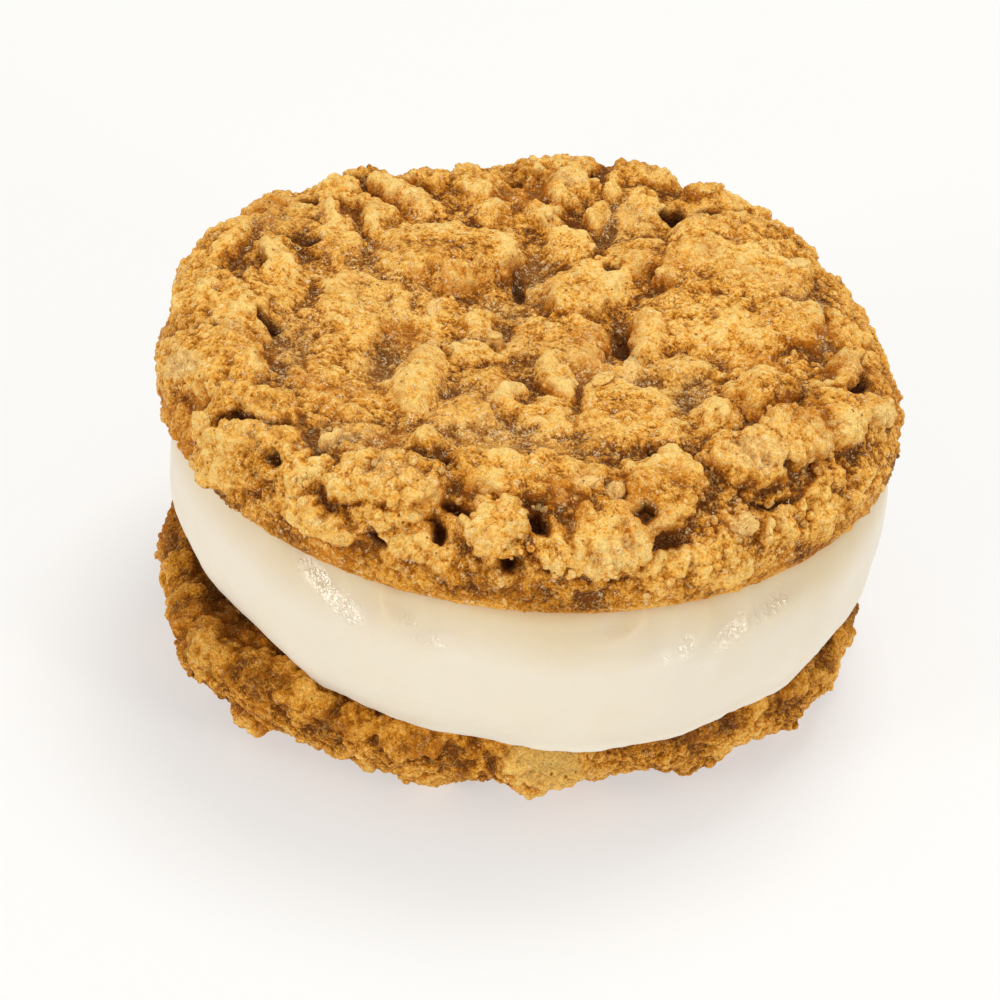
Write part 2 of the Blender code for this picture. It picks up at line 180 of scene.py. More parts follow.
def swell(theta: Array, swells: tuple[Swell, ...]) -> Array:
    """Sums soft bumps around an outline.

    Args:
        theta: Directions, radians.
        swells: Direction and half width in degrees, and size, of each bump.

    Returns:
        Size at each direction.
    """
    out = np.zeros_like(theta)
    for at, half, size in swells:
        out += size * np.exp(-0.5 * (turned_from(theta, at) / half) ** 2)
    return out


def unit_length(vectors: Array) -> Array:
    """The vectors, n by 3, at length 1."""
    return vectors / np.linalg.norm(vectors, axis=1)[:, None]


def srgb(red: float, green: float, blue: float) -> Colour:
    """Linear colour of an 8-bit screen colour.

    Args:
        red, green, blue: 0 to 255.

    Returns:
        The colour, each channel 0 to 1.
    """
    def linear(c: float) -> float:
        """One channel."""
        c /= 255.0
        return c / 12.92 if c <= 0.04045 else ((c + 0.055) / 1.055) ** 2.4
    return linear(red), linear(green), linear(blue)


# ---- meshes as arrays --------------------------------------------------------
def linked(name: str, data: bpy.types.ID) -> bpy.types.Object:
    """Makes an object and puts it in the scene.

    Args:
        name: Its name.
        data: Its mesh, light or camera.

    Returns:
        The object, at the origin.
    """
    obj = bpy.data.objects.new(name, data)
    bpy.context.scene.collection.objects.link(obj)
    return obj


def dressed(mesh: bpy.types.Mesh, material: bpy.types.Material) -> bpy.types.Object:
    """Gives a finished mesh its finish and an object.

    Args:
        mesh: The mesh, in metres.
        material: The finish.

    Returns:
        The new object, at the origin.
    """
    mesh.materials.append(material)
    mesh.shade_smooth()
    return linked(mesh.name, mesh)


def store(mesh: bpy.types.Mesh, name: str, values: Array) -> None:
    """Stores one number a vertex for the materials."""
    layer = mesh.attributes.new(name, "FLOAT", "POINT")
    layer.data.foreach_set("value", values.astype(np.float32))


class Skin:
    """A mesh whose points are worked on together."""

    def __init__(self, name: str, bm: bmesh.types.BMesh) -> None:
        """Takes over a bmesh.

        Args:
            name: Name of the mesh and of its object.
            bm: The bmesh, which is freed.
        """
        self.mesh = bpy.data.meshes.new(name)
        bm.to_mesh(self.mesh)
        bm.free()
        count = len(self.mesh.vertices)
        flat = np.zeros(count * 3)
        self.mesh.vertices.foreach_get("co", flat)
        self.points = flat.reshape(-1, 3)
        ends = np.zeros(len(self.mesh.edges) * 2, np.int32)
        self.mesh.edges.foreach_get("vertices", ends)
        self.ends = ends.reshape(-1, 2)
        self.mesh.calc_loop_triangles()
        corners = np.zeros(len(self.mesh.loop_triangles) * 3, np.int32)
        self.mesh.loop_triangles.foreach_get("vertices", corners)
        self.corners = corners.reshape(-1, 3)
        self.valence = np.bincount(self.ends.ravel(), minlength=count)
        self.painted: dict[str, Array] = {}

    def _gather(self, index: Array, values: Array) -> Array:
        """Adds up values, n by 3, over the vertices that index names."""
        count = len(self.points)
        return np.stack([np.bincount(index, values[:, k], count) for k in range(3)], 1)

    def around(self, values: Array) -> Array:
        """Mean of each vertex's neighbours."""
        a, b = self.ends[:, 0], self.ends[:, 1]
        return (self._gather(a, values[b]) + self._gather(b, values[a])) / self.valence[:, None]

    def normals(self) -> Array:
        """Works out where the surface faces.

        Returns:
            Outward unit normals, one a vertex.
        """
        a, b, c = (self.points[self.corners[:, k]] for k in range(3))
        face = np.cross(b - a, c - a)
        total = sum(self._gather(self.corners[:, k], face) for k in range(3))
        return total / (np.linalg.norm(total, axis=1)[:, None] + 1e-12)

    def slide(self, rounds: int, moving: Array) -> None:
        """Evens the mesh out along its own surface.

        Args:
            rounds: How many times.
            moving: Share of the shift each vertex takes, 0 to 1.
        """
        for _ in range(rounds):
            shift = self.around(self.points) - self.points
            normal = self.normals()
            shift -= normal * (shift * normal).sum(1)[:, None]
            self.points += shift * (0.5 * moving)[:, None]

    def stand_out(self, rounds: int) -> Array:
        """Measures the relief against a smoothed surface.

        Args:
            rounds: How often the surface is smoothed.

        Returns:
            How far each vertex stands out, mm.
        """
        soft = self.points
        for _ in range(rounds):
            soft = self.around(soft)
        return ((self.points - soft) * self.normals()).sum(1)

    def paint(self, name: str, values: Array) -> None:
        """Stores one number a vertex for the materials, and keeps it at hand."""
        self.painted[name] = values
        store(self.mesh, name, values)

    def finish(self, material: bpy.types.Material) -> bpy.types.Object:
        """Puts the points in place, in metres, and gives the mesh to an object.

        Args:
            material: The finish it gets.

        Returns:
            The new object, at the origin.
        """
        placed = (self.points - CENTRE) * MM
        self.mesh.vertices.foreach_set("co", placed.astype(np.float32).ravel())
        self.mesh.update()
        return dressed(self.mesh, material)


# ---- shader maths ------------------------------------------------------------
class Wire:
    """A number that leaves a socket.  Arithmetic on it adds Math nodes."""

    def __init__(self, graph: "Graph", socket: bpy.types.NodeSocket) -> None:
        """Wraps an output socket of a graph."""
        self.graph, self.socket = graph, socket

    def _math(self, operation: str, *values: "Wire | float") -> "Wire":
        """Adds one Math node on the values."""
        node = self.graph.add("ShaderNodeMath", {"operation": operation}, dict(enumerate(values)))
        return Wire(self.graph, node.outputs[0])

    def __add__(self, other: "Wire | float") -> "Wire":
        """self + other"""
        return self._math("ADD", self, other)

    def __radd__(self, other: float) -> "Wire":
        """other + self"""
        return self._math("ADD", other, self)

    def __sub__(self, other: "Wire | float") -> "Wire":
        """self - other"""
        return self._math("SUBTRACT", self, other)

    def __rsub__(self, other: float) -> "Wire":
        """other - self"""
        return self._math("SUBTRACT", other, self)

    def __mul__(self, other: "Wire | float") -> "Wire":
        """self * other"""
        return self._math("MULTIPLY", self, other)

    def __rmul__(self, other: float) -> "Wire":
        """other * self"""
        return self._math("MULTIPLY", other, self)

    def rise(self, low: float, high: float) -> "Wire":
        """Makes a soft step of the number.

        Args:
            low: Where the step is 0.
            high: Where it is 1.

        Returns:
            The step.
        """
        node = self.graph.add(
            "ShaderNodeMapRange", {"interpolation_type": "SMOOTHSTEP", "clamp": True},
            {"Value": self, "From Min": low, "From Max": high})
        return Wire(self.graph, node.outputs["Result"])

    def clamped(self) -> "Wire":
        """The number held between 0 and 1."""
        node = self.graph.add("ShaderNodeClamp", {}, {"Value": self})
        return Wire(self.graph, node.outputs[0])


class Graph:
    """The node tree of one new material."""

    def __init__(self, name: str) -> None:
        """Starts a material with only its output and its main shader.

        Args:
            name: The material's name.
        """
        self.material = bpy.data.materials.new(name)
        self.material.use_nodes = True
        self.tree = self.material.node_tree
        self.shader = self.tree.nodes["Principled BSDF"]
        self.place = self.add("ShaderNodeTexCoord", {}, {}).outputs["Object"]

    def add(self, kind: str, settings: dict, sockets: dict) -> bpy.types.Node:
        """Adds any node.

        Args:
            kind: The node's type.
            settings: Attributes, set first; "stops" fills a colour ramp.
            sockets: Values, sockets or Wires by input name or number.

        Returns:
            The node.
        """
        node = self.tree.nodes.new(kind)
        for key, value in settings.items():
            if key == "stops":
                self._fill_ramp(node.color_ramp, value)
            else:
                setattr(node, key, value)
        self.feed(node, sockets)
        return node

    def feed(self, node: bpy.types.Node, sockets: dict) -> None:
        """Sets or links a node's inputs.

        Args:
            node: The node.
            sockets: Values, sockets or Wires by input name or number.
        """
        for key, value in sockets.items():
            target = node.inputs[key]
            if isinstance(value, Wire):
                value = value.socket
            if isinstance(value, bpy.types.NodeSocket):
                self.tree.links.new(value, target)
            elif isinstance(value, tuple) and len(value) == 3 and target.type == "RGBA":
                target.default_value = (*value, 1.0)
            else:
                target.default_value = value

    @staticmethod
    def _fill_ramp(ramp: bpy.types.ColorRamp, stops: tuple) -> None:
        """Gives a ramp its stops.

        Args:
            ramp: The ramp.
            stops: Place and colour of each.
        """
        while len(ramp.elements) < len(stops):
            ramp.elements.new(1.0)
        for element, (at, colour) in zip(ramp.elements, stops):
            element.position = at
            element.color = (*colour, 1.0)

    def painted(self, name: str) -> Wire:
        """A number stored on the mesh."""
        node = self.add("ShaderNodeAttribute", {"attribute_name": name}, {})
        return Wire(self, node.outputs["Fac"])

    def noise(self, size: float, detail: float = 2.0, rough: float = 0.5) -> Wire:
        """Adds soft noise.

        Args:
            size: How wide its patches are, mm.
            detail: How many finer layers it has.
            rough: How strong each layer is beside the one before it.

        Returns:
            Noise about 0.5.
        """
        node = self.add("ShaderNodeTexNoise", {},
                        {"Vector": self.place, "Scale": 1.0 / (size * MM),
                         "Detail": detail, "Roughness": rough})
        return Wire(self, node.outputs["Fac"])

    def grain(self, size: float) -> tuple[Wire, Wire, Wire]:
        """Packed grains.

        Args:
            size: Their spacing, mm.

        Returns:
            Round height of each grain and two numbers of its own, each 0 to 1.
        """
        node = self.add("ShaderNodeTexVoronoi", {"feature": "F1"},
                        {"Vector": self.place, "Scale": 1.0 / (size * MM)})
        far = Wire(self, node.outputs["Distance"])
        parts = self.add("ShaderNodeSeparateColor", {}, {"Color": node.outputs["Color"]})
        return ((1.0 - far * far * 1.9).clamped(),
                Wire(self, parts.outputs[0]), Wire(self, parts.outputs[1]))

    def ramp(self, value: Wire, *stops: tuple[float, Colour]) -> bpy.types.NodeSocket:
        """Looks a number up on a colour ramp.

        Args:
            value: The number, which is held between 0 and 1.
            stops: Place and colour of each stop.

        Returns:
            The colour.
        """
        return self.add("ShaderNodeValToRGB", {"stops": stops},
                        {"Fac": value.clamped()}).outputs["Color"]

    def mixed(self, share: "Wire | float", low: "bpy.types.NodeSocket | Colour",
              high: "bpy.types.NodeSocket | Colour") -> bpy.types.NodeSocket:
        """Mixes two colours.

        Args:
            share: How much there is of the second.
            low: The colour at share 0.
            high: The colour at share 1.

        Returns:
            The colour between them.
        """
        return self.add("ShaderNodeMix", {"data_type": "RGBA"},
                        {0: share, 6: low, 7: high}).outputs[2]

    def bump(self, height: Wire, depth: float, strength: float = 1.0) -> bpy.types.NodeSocket:
        """Adds fine relief.

        Args:
            height: The relief.
            depth: What a height of 1 stands for, mm.
            strength: How much of it shows.

        Returns:
            The normal.
        """
        return self.add("ShaderNodeBump", {}, {"Height": height, "Distance": depth * MM,
                                               "Strength": strength}).outputs["Normal"]


# ---- finishes ----------------------------------------------------------------
@dataclass(frozen=True)
class CrustFinish:
    """Browned oat crust: pale sandy crests, amber walls, damp hollows, glistening grains, with
    painted light on what stands out, painted shade in hollows and holes, a painted warm glow on
    the walls and painted glints.
    """

    name: str
    # deep: painted shade in the holes
    deep: Colour = srgb(60, 20, 0)
    umber: Colour = srgb(112, 58, 4)
    dark: Colour = srgb(150, 88, 10)
    brown: Colour = srgb(194, 120, 18)
    tan: Colour = srgb(230, 160, 58)
    pale: Colour = srgb(250, 190, 90)
    crest: Colour = srgb(255, 214, 126)
    dull: Colour = srgb(204, 152, 82)
    damp: Colour = srgb(134, 84, 30)
    # amber: browned patches, and the painted warm glow on steep walls
    amber: Colour = srgb(198, 114, 16)
    flake: Colour = srgb(255, 218, 142)
    # colour of the painted shade of tiny pits
    pit_shade: Colour = srgb(166, 92, 12)
    # colour of the painted glints, tiny pale highlights
    glint_paint: Colour = srgb(255, 234, 186)
    shade: float = 0.0           # how much darker the whole crust is
    flaky: float = 0.5           # how far the pale flakes cover the crust
    # strength of the painted glints
    glint_strength: float = 0.55        # strength of the tiny pale sparks
    bead_size: float = 0.52      # spacing of the sugary beads, mm
    dust_size: float = 0.28      # spacing of the dust between them, mm
    relief: float = 0.22         # depth of the finest relief, mm

    def material(self) -> bpy.types.Material:
        """Builds the node material.

        Returns:
            The material.
        """
        g = Graph(self.name)
        # what the mesh says of its form, and the band of painted shade low at the front and along
        # the lower edge
        wide, fine = g.painted("crest"), g.painted("fine")
        band, walls, sunk_in = g.painted("band"), g.painted("wall"), g.painted("hole")
        # noise, from broad patches to grit; strokes are thin curved pale lines, partly painted
        # glints
        blotch, patch = g.noise(6.0, 1.5), g.noise(1.3, 3.0)
        torn = g.noise(1.1, 5.0, 0.65)
        bead, own, wet = g.grain(self.bead_size)
        dust, own_dust, _ = g.grain(self.dust_size)
        curl = g.noise(0.42, 1.0) - 0.5
        stroke = (1.0 - curl * curl * 110.0).clamped() * g.noise(0.55, 1.0).rise(0.40, 0.60)
        grit = g.noise(0.30, 2.0, 0.6) - 0.5

        # tone: lighter on what stands out, as crust colour and painted light; painted shade in
        # what lies low, in small creases too, and in the band low at the front and along the
        # lower edge
        low, high = (0.5 - wide).clamped(), (wide - 0.5).clamped()
        grains = ((fine - 0.5) * 0.28 + (patch - 0.5) * 0.25 + (own - 0.5) * 0.14
                  + (bead - 0.6) * 0.20 + (own_dust - 0.5) * 0.22
                  + (stroke - 0.25) * 0.24 + grit * 1.2)
        tone = (0.64 - self.shade - band * 0.48 + high * 0.6 - low * 1.5
                + (blotch - 0.5) * 1.4 + grains * (1.0 - band * 0.45))
        colour = g.ramp(tone, (0.0, self.umber), (0.17, self.dark), (0.36, self.brown),
                        (0.56, self.tan), (0.78, self.pale), (1.0, self.crest))
        # painted warm glow of light bouncing in and passing through the crust, amber on steep
        # walls
        colour = g.mixed((walls * (patch + 0.3) * 0.7).clamped(), colour, self.amber)

        # damp hollows, pale oat, browned patches, pale strokes that are partly painted glints,
        # painted shade in holes, painted glints, and painted shade of tiny pits
        # damp hollows, with painted shade where they lie low
        dull = g.painted("dull") * (0.25 + torn * 1.3)
        sunk = g.ramp(stroke * 0.50 + own_dust * 0.3 + grit * 2.0 + (wide - 0.42) * 3.2
                      + (torn - 0.5) * 0.8 + 0.18,
                      (0.0, self.damp), (0.5, self.dull), (1.0, self.pale))
        colour = g.mixed((dull * 0.9).clamped(), colour, sunk)
        flake = (g.painted("flake") + (torn - 0.5) * 1.2).rise(0.3, 0.8)
        colour = g.mixed((flake * (self.flaky + grit)).clamped(), colour, self.flake)
        baked = g.noise(7.5, 3.0).rise(0.52, 0.70)
        colour = g.mixed(baked * (0.5 - stroke * 0.3), colour, self.amber)
        # pale strokes: grain colour, partly painted glints
        colour = g.mixed(stroke * (0.26 - self.shade * 0.5), colour, self.flake)
        # painted shade in the holes, on top of their real depth
        colour = g.mixed(sunk_in * 0.85, colour, self.deep)
        # painted glints: tiny pale spots in the colour, where the roughness is lower too
        glint = (wet + dull * 0.25).rise(0.91, 0.96) * dust.rise(0.4, 0.8)
        colour = g.mixed(glint * self.glint_strength, colour, self.glint_paint)
        # painted shade of tiny pits: brown spots with no relief of their own
        pits = own.rise(0.95, 0.97) * bead.rise(0.5, 0.8) * torn.rise(0.42, 0.52)
        colour = g.mixed(pits * 0.9, colour, self.pit_shade)

        height = (own * 0.20 + bead * 0.35 + stroke * 0.35 + own_dust * 0.15 + dust * 0.25
                  + grit * 0.8)
        g.feed(g.shader, {
            "Base Color": colour,
            "Roughness": (0.62 - glint * 0.35).clamped(),
            "Normal": g.bump(height, self.relief),
            "Specular IOR Level": 0.12,
            "IOR": 1.5,
        })
        return g.material


@dataclass(frozen=True)
class CreamFinish:
    """Moist whipped cream: off-white, softly glossy, a little see-through."""

    name: str = "cream_finish"
    body: Colour = srgb(231, 221, 201)
    # warm and edge: painted shade and warm bounce light under the top cookie
    warm_shade: Colour = srgb(219, 198, 157)
    edge: Colour = srgb(208, 166, 106)
    ripple_size: float = 0.8     # mm
    ripple_depth: float = 0.28   # mm

    def material(self) -> bpy.types.Material:
        """Builds the node material.

        Returns:
            The material.
        """
        g = Graph(self.name)
        cloud = g.noise(9.0, 3.0)
        # painted shade and warm bounce light, growing towards the top of the wall under the top
        # cookie
        colour = g.ramp(g.painted("under") + (cloud - 0.5) * 0.4,
                        (0.0, self.body), (0.55, self.warm_shade), (1.0, self.edge))
        wet = (g.painted("wet") + (g.noise(self.ripple_size, 3.0) - 0.5) * 1.5).rise(0.1, 0.9)
        ripple = g.noise(self.ripple_size, 3.0, 0.55) - 0.5
        g.feed(g.shader, {
            "Base Color": colour,
            "Roughness": 0.55 - wet * 0.43,
            "Normal": g.bump(ripple * (0.12 + wet * 0.88), self.ripple_depth),
            "Subsurface Weight": 0.5,
            "Subsurface Scale": 3.0 * MM,
            "Subsurface Radius": (1.0, 0.8, 0.55),
            "Specular IOR Level": 1.0,
            "IOR": 1.5,
        })
        return g.material


@dataclass(frozen=True)
class FloorFinish:
    """Plain pale paper."""

    name: str = "pale_floor"
    colour: Colour = srgb(176, 175, 172)
    glow: float = 0.495

    def material(self) -> bpy.types.Material:
        """Builds the node material.

        Returns:
            The material.
        """
        g = Graph(self.name)
        g.feed(g.shader, {
            "Base Color": self.colour,
            "Emission Color": (1.0, 1.0, 1.0),
            "Emission Strength": self.glow,
            "Roughness": 0.9,
            "Normal": g.bump(g.noise(2.0, 2.0), 0.02, 0.3),
            "Specular IOR Level": 0.0,
        })
        return g.material


# ---- the crust's relief ------------------------------------------------------
@dataclass(frozen=True)
class Plate:
    """A raised piece of crust in the unrolled view, or a spot with a strength."""

    x: float                    # middle, mm
    y: float
    a: float                    # half length, mm
    b: float                    # half width, mm
    turn: float                 # of the length, degrees
    rise: float                 # over the crust around it, mm, or the spot's strength
    dome: float = 0.35          # 0 for a flat plate with a crisp edge to 1 for a ball
    hang: float = 0.0           # how far it leans outwards, mm

    def local(self, x: Array, y: Array) -> tuple[Array, Array]:
        """Place of points in the plate's own axes.

        Args:
            x, y: Unrolled places, mm.

        Returns:
            Along and across the plate, as shares of its half sizes.
        """
        c, s = math.cos(math.radians(self.turn)), math.sin(math.radians(self.turn))
        along = ((x - self.x) * c + (y - self.y) * s) / self.a
        across = ((y - self.y) * c - (x - self.x) * s) / self.b
        return along, across


TOP_PLATES = (
    # rim, from the left round the front to the right
    Plate(-35.5, -3.5, 7.0, 5.0, -42, 2.2),
    Plate(-35.0, -14.0, 8.0, 4.8, -38, 2.7),
    Plate(-41.0, -20.5, 3.5, 3.0, -50, 0.9),
    Plate(-34.6, -22.6, 3.6, 2.0, 22, 2.2),
    Plate(-29.0, -23.0, 5.6, 2.8, -36, 2.7),
    Plate(-30.5, -29.3, 9.6, 4.2, -23, 2.4),
    Plate(-24.6, -33.8, 5.4, 2.3, 14, 2.1),
    Plate(-33.5, -33.6, 5.0, 2.2, -42, 0.7),
    Plate(-21.6, -38.4, 6.2, 2.4, -30, 2.6, hang=0.5),
    Plate(-14.0, -34.4, 6.6, 3.3, -8, 2.8),
    Plate(-14.0, -38.8, 4.2, 2.2, -5, 2.0),
    Plate(-11.8, -43.0, 5.0, 2.4, -14, 1.0),
    Plate(1.5, -33.0, 11.0, 3.2, 0, 1.9),
    Plate(-2.3, -39.4, 3.5, 4.2, 0, 3.1, 0.6, hang=0.7),
    Plate(3.8, -41.3, 2.6, 2.8, 0, 2.8, 0.6, hang=0.7),
    Plate(9.2, -39.4, 5.4, 4.4, 42, 3.1, 0.5, hang=0.7),
    Plate(-5.0, -45.0, 5.0, 1.8, -6, 0.9),
    Plate(6.5, -45.2, 4.5, 1.6, 5, 1.1),
    Plate(14.6, -31.8, 5.4, 4.4, 78, 2.8, 0.45, hang=0.6),
    Plate(16.2, -41.0, 3.6, 2.8, 25, 1.0),
    Plate(22.5, -38.8, 4.2, 3.4, 30, 1.4),
    Plate(23.8, -34.0, 1.9, 1.4, 20, 1.7, 0.7),
    Plate(23.4, -25.6, 5.4, 3.3, 20, 2.9),
    Plate(28.4, -20.6, 5.2, 3.2, 48, 3.0),
    Plate(32.6, -15.0, 5.0, 3.6, 62, 3.0),
    Plate(37.8, -10.8, 4.6, 1.8, 31, 2.2),
    Plate(39.0, -5.4, 3.8, 3.0, 60, 0.6),
    Plate(33.0, -23.0, 3.0, 2.2, 50, 1.5),
    Plate(38.2, -21.0, 4.6, 2.4, 62, 1.2),
    Plate(33.5, -28.5, 5.0, 3.2, 48, 1.0),
    # inner field, left to right and front to back
    Plate(-29.2, 3.2, 7.6, 3.0, 91, 1.8),
    Plate(-37.0, 8.5, 8.5, 4.0, 66, 2.2),
    Plate(-30.2, 15.0, 4.2, 4.0, 20, 0.6),
    Plate(-22.6, 11.2, 5.0, 2.6, 88, 1.5),
    Plate(-18.6, 15.4, 3.8, 1.9, 82, 2.1, 0.6),
    Plate(-10.8, 11.6, 8.4, 6.0, 8, 2.7, 0.5),
    Plate(-19.4, -1.0, 7.6, 5.2, 92, 0.9),
    Plate(-7.0, -1.6, 3.0, 2.2, 90, 1.2, 0.7),
    Plate(-4.7, -4.9, 2.0, 1.2, 90, 1.3, 0.9),
    Plate(3.0, -3.2, 6.6, 5.6, 80, 1.5),
    Plate(12.6, -1.0, 4.6, 2.5, 86, 2.2, 0.6),
    Plate(5.6, 8.4, 6.2, 4.2, 66, 2.1),
    Plate(3.0, 16.0, 3.8, 3.0, 80, 1.7, 0.5),
    Plate(11.2, 14.6, 4.4, 3.2, 5, 2.2, 0.5),
    Plate(22.5, 14.5, 10.0, 8.6, 60, 2.6),
    Plate(21.5, 2.6, 10.4, 6.4, -4, 2.0),
    Plate(34.0, -5.4, 4.6, 2.0, 78, 2.4, 0.5),
    Plate(16.6, -8.0, 3.0, 2.6, 90, 1.6, 0.7),
    Plate(10.9, -9.2, 3.0, 1.3, 85, 0.9),
    Plate(25.0, -13.4, 5.0, 4.1, 88, 3.5, 0.95),
    Plate(19.6, -19.0, 4.3, 2.6, 88, 1.9, 0.7),
    Plate(-7.0, -8.2, 3.6, 2.5, 5, 1.3),
    Plate(-11.6, -15.6, 7.2, 3.0, 86, 2.3),
    Plate(-6.0, -13.8, 3.4, 3.2, 0, 0.9),
    Plate(-2.6, -17.4, 3.3, 2.2, 84, 1.4, 0.6),
    Plate(2.6, -12.4, 5.2, 2.2, 104, 2.2, 0.6),
    Plate(10.2, -19.6, 7.2, 5.4, 84, 1.7),
    Plate(2.0, -20.6, 4.0, 3.4, 80, 1.1),
    Plate(-7.2, -21.2, 3.2, 3.0, 0, 1.0),
    Plate(-10.0, -28.6, 2.9, 1.9, 90, 1.7, 0.8),
    # back
    Plate(2.0, 26.8, 3.6, 3.0, 15, 2.6),
    Plate(-0.6, 22.0, 2.6, 2.4, 0, 1.6, 0.6),
    Plate(-6.6, 21.8, 3.2, 2.2, 70, 1.6, 0.6),
    Plate(-8.4, 27.6, 4.0, 3.2, 80, 1.5),
    Plate(-14.0, 27.6, 3.2, 2.8, 40, 1.3),
    Plate(-17.0, 22.4, 4.4, 2.7, -24, 2.4),
    Plate(-24.4, 22.4, 3.6, 3.0, 30, 1.5),
    Plate(6.4, 22.0, 3.2, 1.5, 86, 1.9, 0.6),
    Plate(7.4, 28.6, 3.8, 1.7, 80, 1.6, 0.6),
    Plate(10.8, 24.0, 5.4, 2.8, 82, 0.9),
    Plate(20.8, 29.0, 5.6, 1.4, -8, 2.3, 0.4),
    Plate(10.4, 33.6, 4.2, 3.8, 20, 1.9),
    Plate(1.0, 33.0, 4.8, 3.2, 0, 1.7),
)

# small lumps and ridges that the solid leaves out
TOP_LUMPS = (
    Plate(-19.0, -36.0, 1.5, 1.4, 0, 3.4, 0.9),
    Plate(2.9, -41.6, 1.4, 1.3, 0, 2.6, 0.9),
    Plate(5.7, -42.8, 1.5, 1.3, 0, 2.8, 0.9),
    Plate(27.5, -34.0, 0.9, 2.0, 20, 1.4, 0.5),
    Plate(-23.4, 15.2, 1.1, 3.6, 12, 1.6, 0.5),
    Plate(-20.6, 19.0, 2.6, 1.2, -14, 1.6, 0.4),
    Plate(6.3, -34.0, 1.7, 1.1, 10, 1.5, 0.7),
    Plate(9.2, -34.2, 1.1, 1.2, 0, 1.6, 0.8),
    Plate(-2.6, -17.4, 1.8, 1.3, 60, 1.9, 0.8),
    Plate(-20.0, -29.0, 2.4, 0.6, 35, 2.0, 0.4),
)

# soft hollows, shared with the solid
TOP_HOLLOWS = (
    Plate(-17.0, -27.5, 4.2, 2.4, 0, -1.3),
    Plate(-16.2, -12.6, 4.2, 1.9, 88, -1.4),
    Plate(-1.6, 9.6, 4.4, 2.0, 84, -0.9),
    Plate(9.4, -0.8, 4.0, 2.0, 96, -1.3),
    Plate(8.0, -11.4, 2.2, 2.0, 0, -1.3),
    Plate(12.2, -11.2, 3.6, 1.8, 92, -1.1),
    Plate(17.2, -14.0, 4.8, 1.6, 88, -1.0),
    Plate(17.4, 24.4, 3.6, 1.8, 30, -1.6),
    Plate(15.6, -38.0, 3.4, 1.6, 20, -0.8),
    Plate(-2.0, -25.2, 8.0, 3.2, 0, -0.6),
    Plate(-26.6, -11.5, 7.5, 2.6, 88, -0.8),
)

# holes and cracks with steep walls
TOP_HOLES = (
    Plate(-26.4, -31.0, 0.7, 1.0, 0, -2.0),
    Plate(-8.5, -40.5, 0.8, 1.5, 8, -2.2),
    Plate(-16.0, -41.5, 1.1, 0.7, -20, -2.0),
    Plate(-8.3, -32.5, 0.8, 0.8, 0, -1.8),
    Plate(1.8, -38.5, 0.7, 1.2, 0, -2.2),
    Plate(12.2, -35.5, 0.7, 1.1, 10, -2.0),
    Plate(15.6, -38.0, 2.2, 0.8, 25, -0.9),
    Plate(-1.0, -43.5, 1.3, 0.9, 0, -2.2),
    Plate(-6.5, -37.7, 1.2, 0.7, 0, -1.8),
    Plate(27.7, -25.8, 1.1, 0.8, 30, -2.0),
    Plate(36.0, -6.5, 4.4, 0.7, 74, -2.2),
    Plate(27.5, -29.5, 5.0, 0.8, 35, -1.4),
    Plate(-28.7, -7.4, 0.8, 0.8, 0, -1.8),
    Plate(-31.5, 5.0, 0.6, 2.0, 0, -0.9),
    Plate(-26.5, 10.5, 2.2, 1.0, 0, -1.2),
    Plate(-2.5, 9.0, 0.8, 2.5, -8, -1.4),
    Plate(-3.8, -7.0, 0.6, 0.9, 0, -1.4),
    Plate(9.8, -1.5, 0.8, 3.6, 6, -1.2),
    Plate(8.3, 12.0, 0.9, 0.9, 0, -1.4),
    Plate(22.0, -10.0, 1.5, 1.0, 0, -1.2),
    Plate(13.0, -26.0, 0.8, 0.8, 0, -1.5),
    Plate(-3.7, 29.0, 0.8, 1.0, 0, -1.6),
    Plate(5.3, 29.0, 0.6, 2.0, 0, -1.6),
    Plate(14.8, 25.0, 1.3, 1.8, 0, -2.8),
    Plate(20.0, 25.6, 4.4, 1.1, 24, -1.8),
    Plate(-27.0, 20.5, 0.8, 0.8, 0, -1.5),
    Plate(-36.0, -9.2, 2.4, 0.6, -20, -2.0),
    Plate(-31.0, -24.8, 1.6, 0.6, -10, -1.6),
)

# where the crust is pale with oat, and where it is damp and grey-brown
TOP_PALE = (
    Plate(-38.5, -14.0, 5.0, 1.6, -35, 1.0),
    Plate(-11.8, 1.5, 0.9, 3.0, -8, 1.0),
    Plate(-11.5, -5.5, 0.9, 1.8, 0, 0.6),
    Plate(28.5, 13.0, 1.0, 1.4, 0, 0.8),
    Plate(10.8, -9.0, 1.2, 3.0, 0, 0.8),
    Plate(6.3, -34.0, 1.5, 0.9, 0, 1.0),
    Plate(9.2, -34.2, 0.9, 1.1, 0, 1.0),
    Plate(23.8, -34.0, 1.8, 1.3, 0, 1.0),
    Plate(24.0, -26.0, 4.6, 2.6, 20, 0.7),
    Plate(-14.0, -34.4, 5.8, 2.4, -8, 0.5),
    Plate(-2.6, -17.4, 2.4, 1.6, 60, 0.8),
    Plate(2.0, 26.8, 2.6, 2.0, 15, 0.7),
    Plate(39.0, -10.5, 3.6, 1.0, 31, 0.9),
    Plate(-20.0, -29.0, 3.0, 1.0, 35, 0.9),
    Plate(-2.3, -41.0, 3.0, 2.2, 0, 0.5),
    Plate(9.6, -41.0, 4.4, 2.4, 42, 0.6),
)

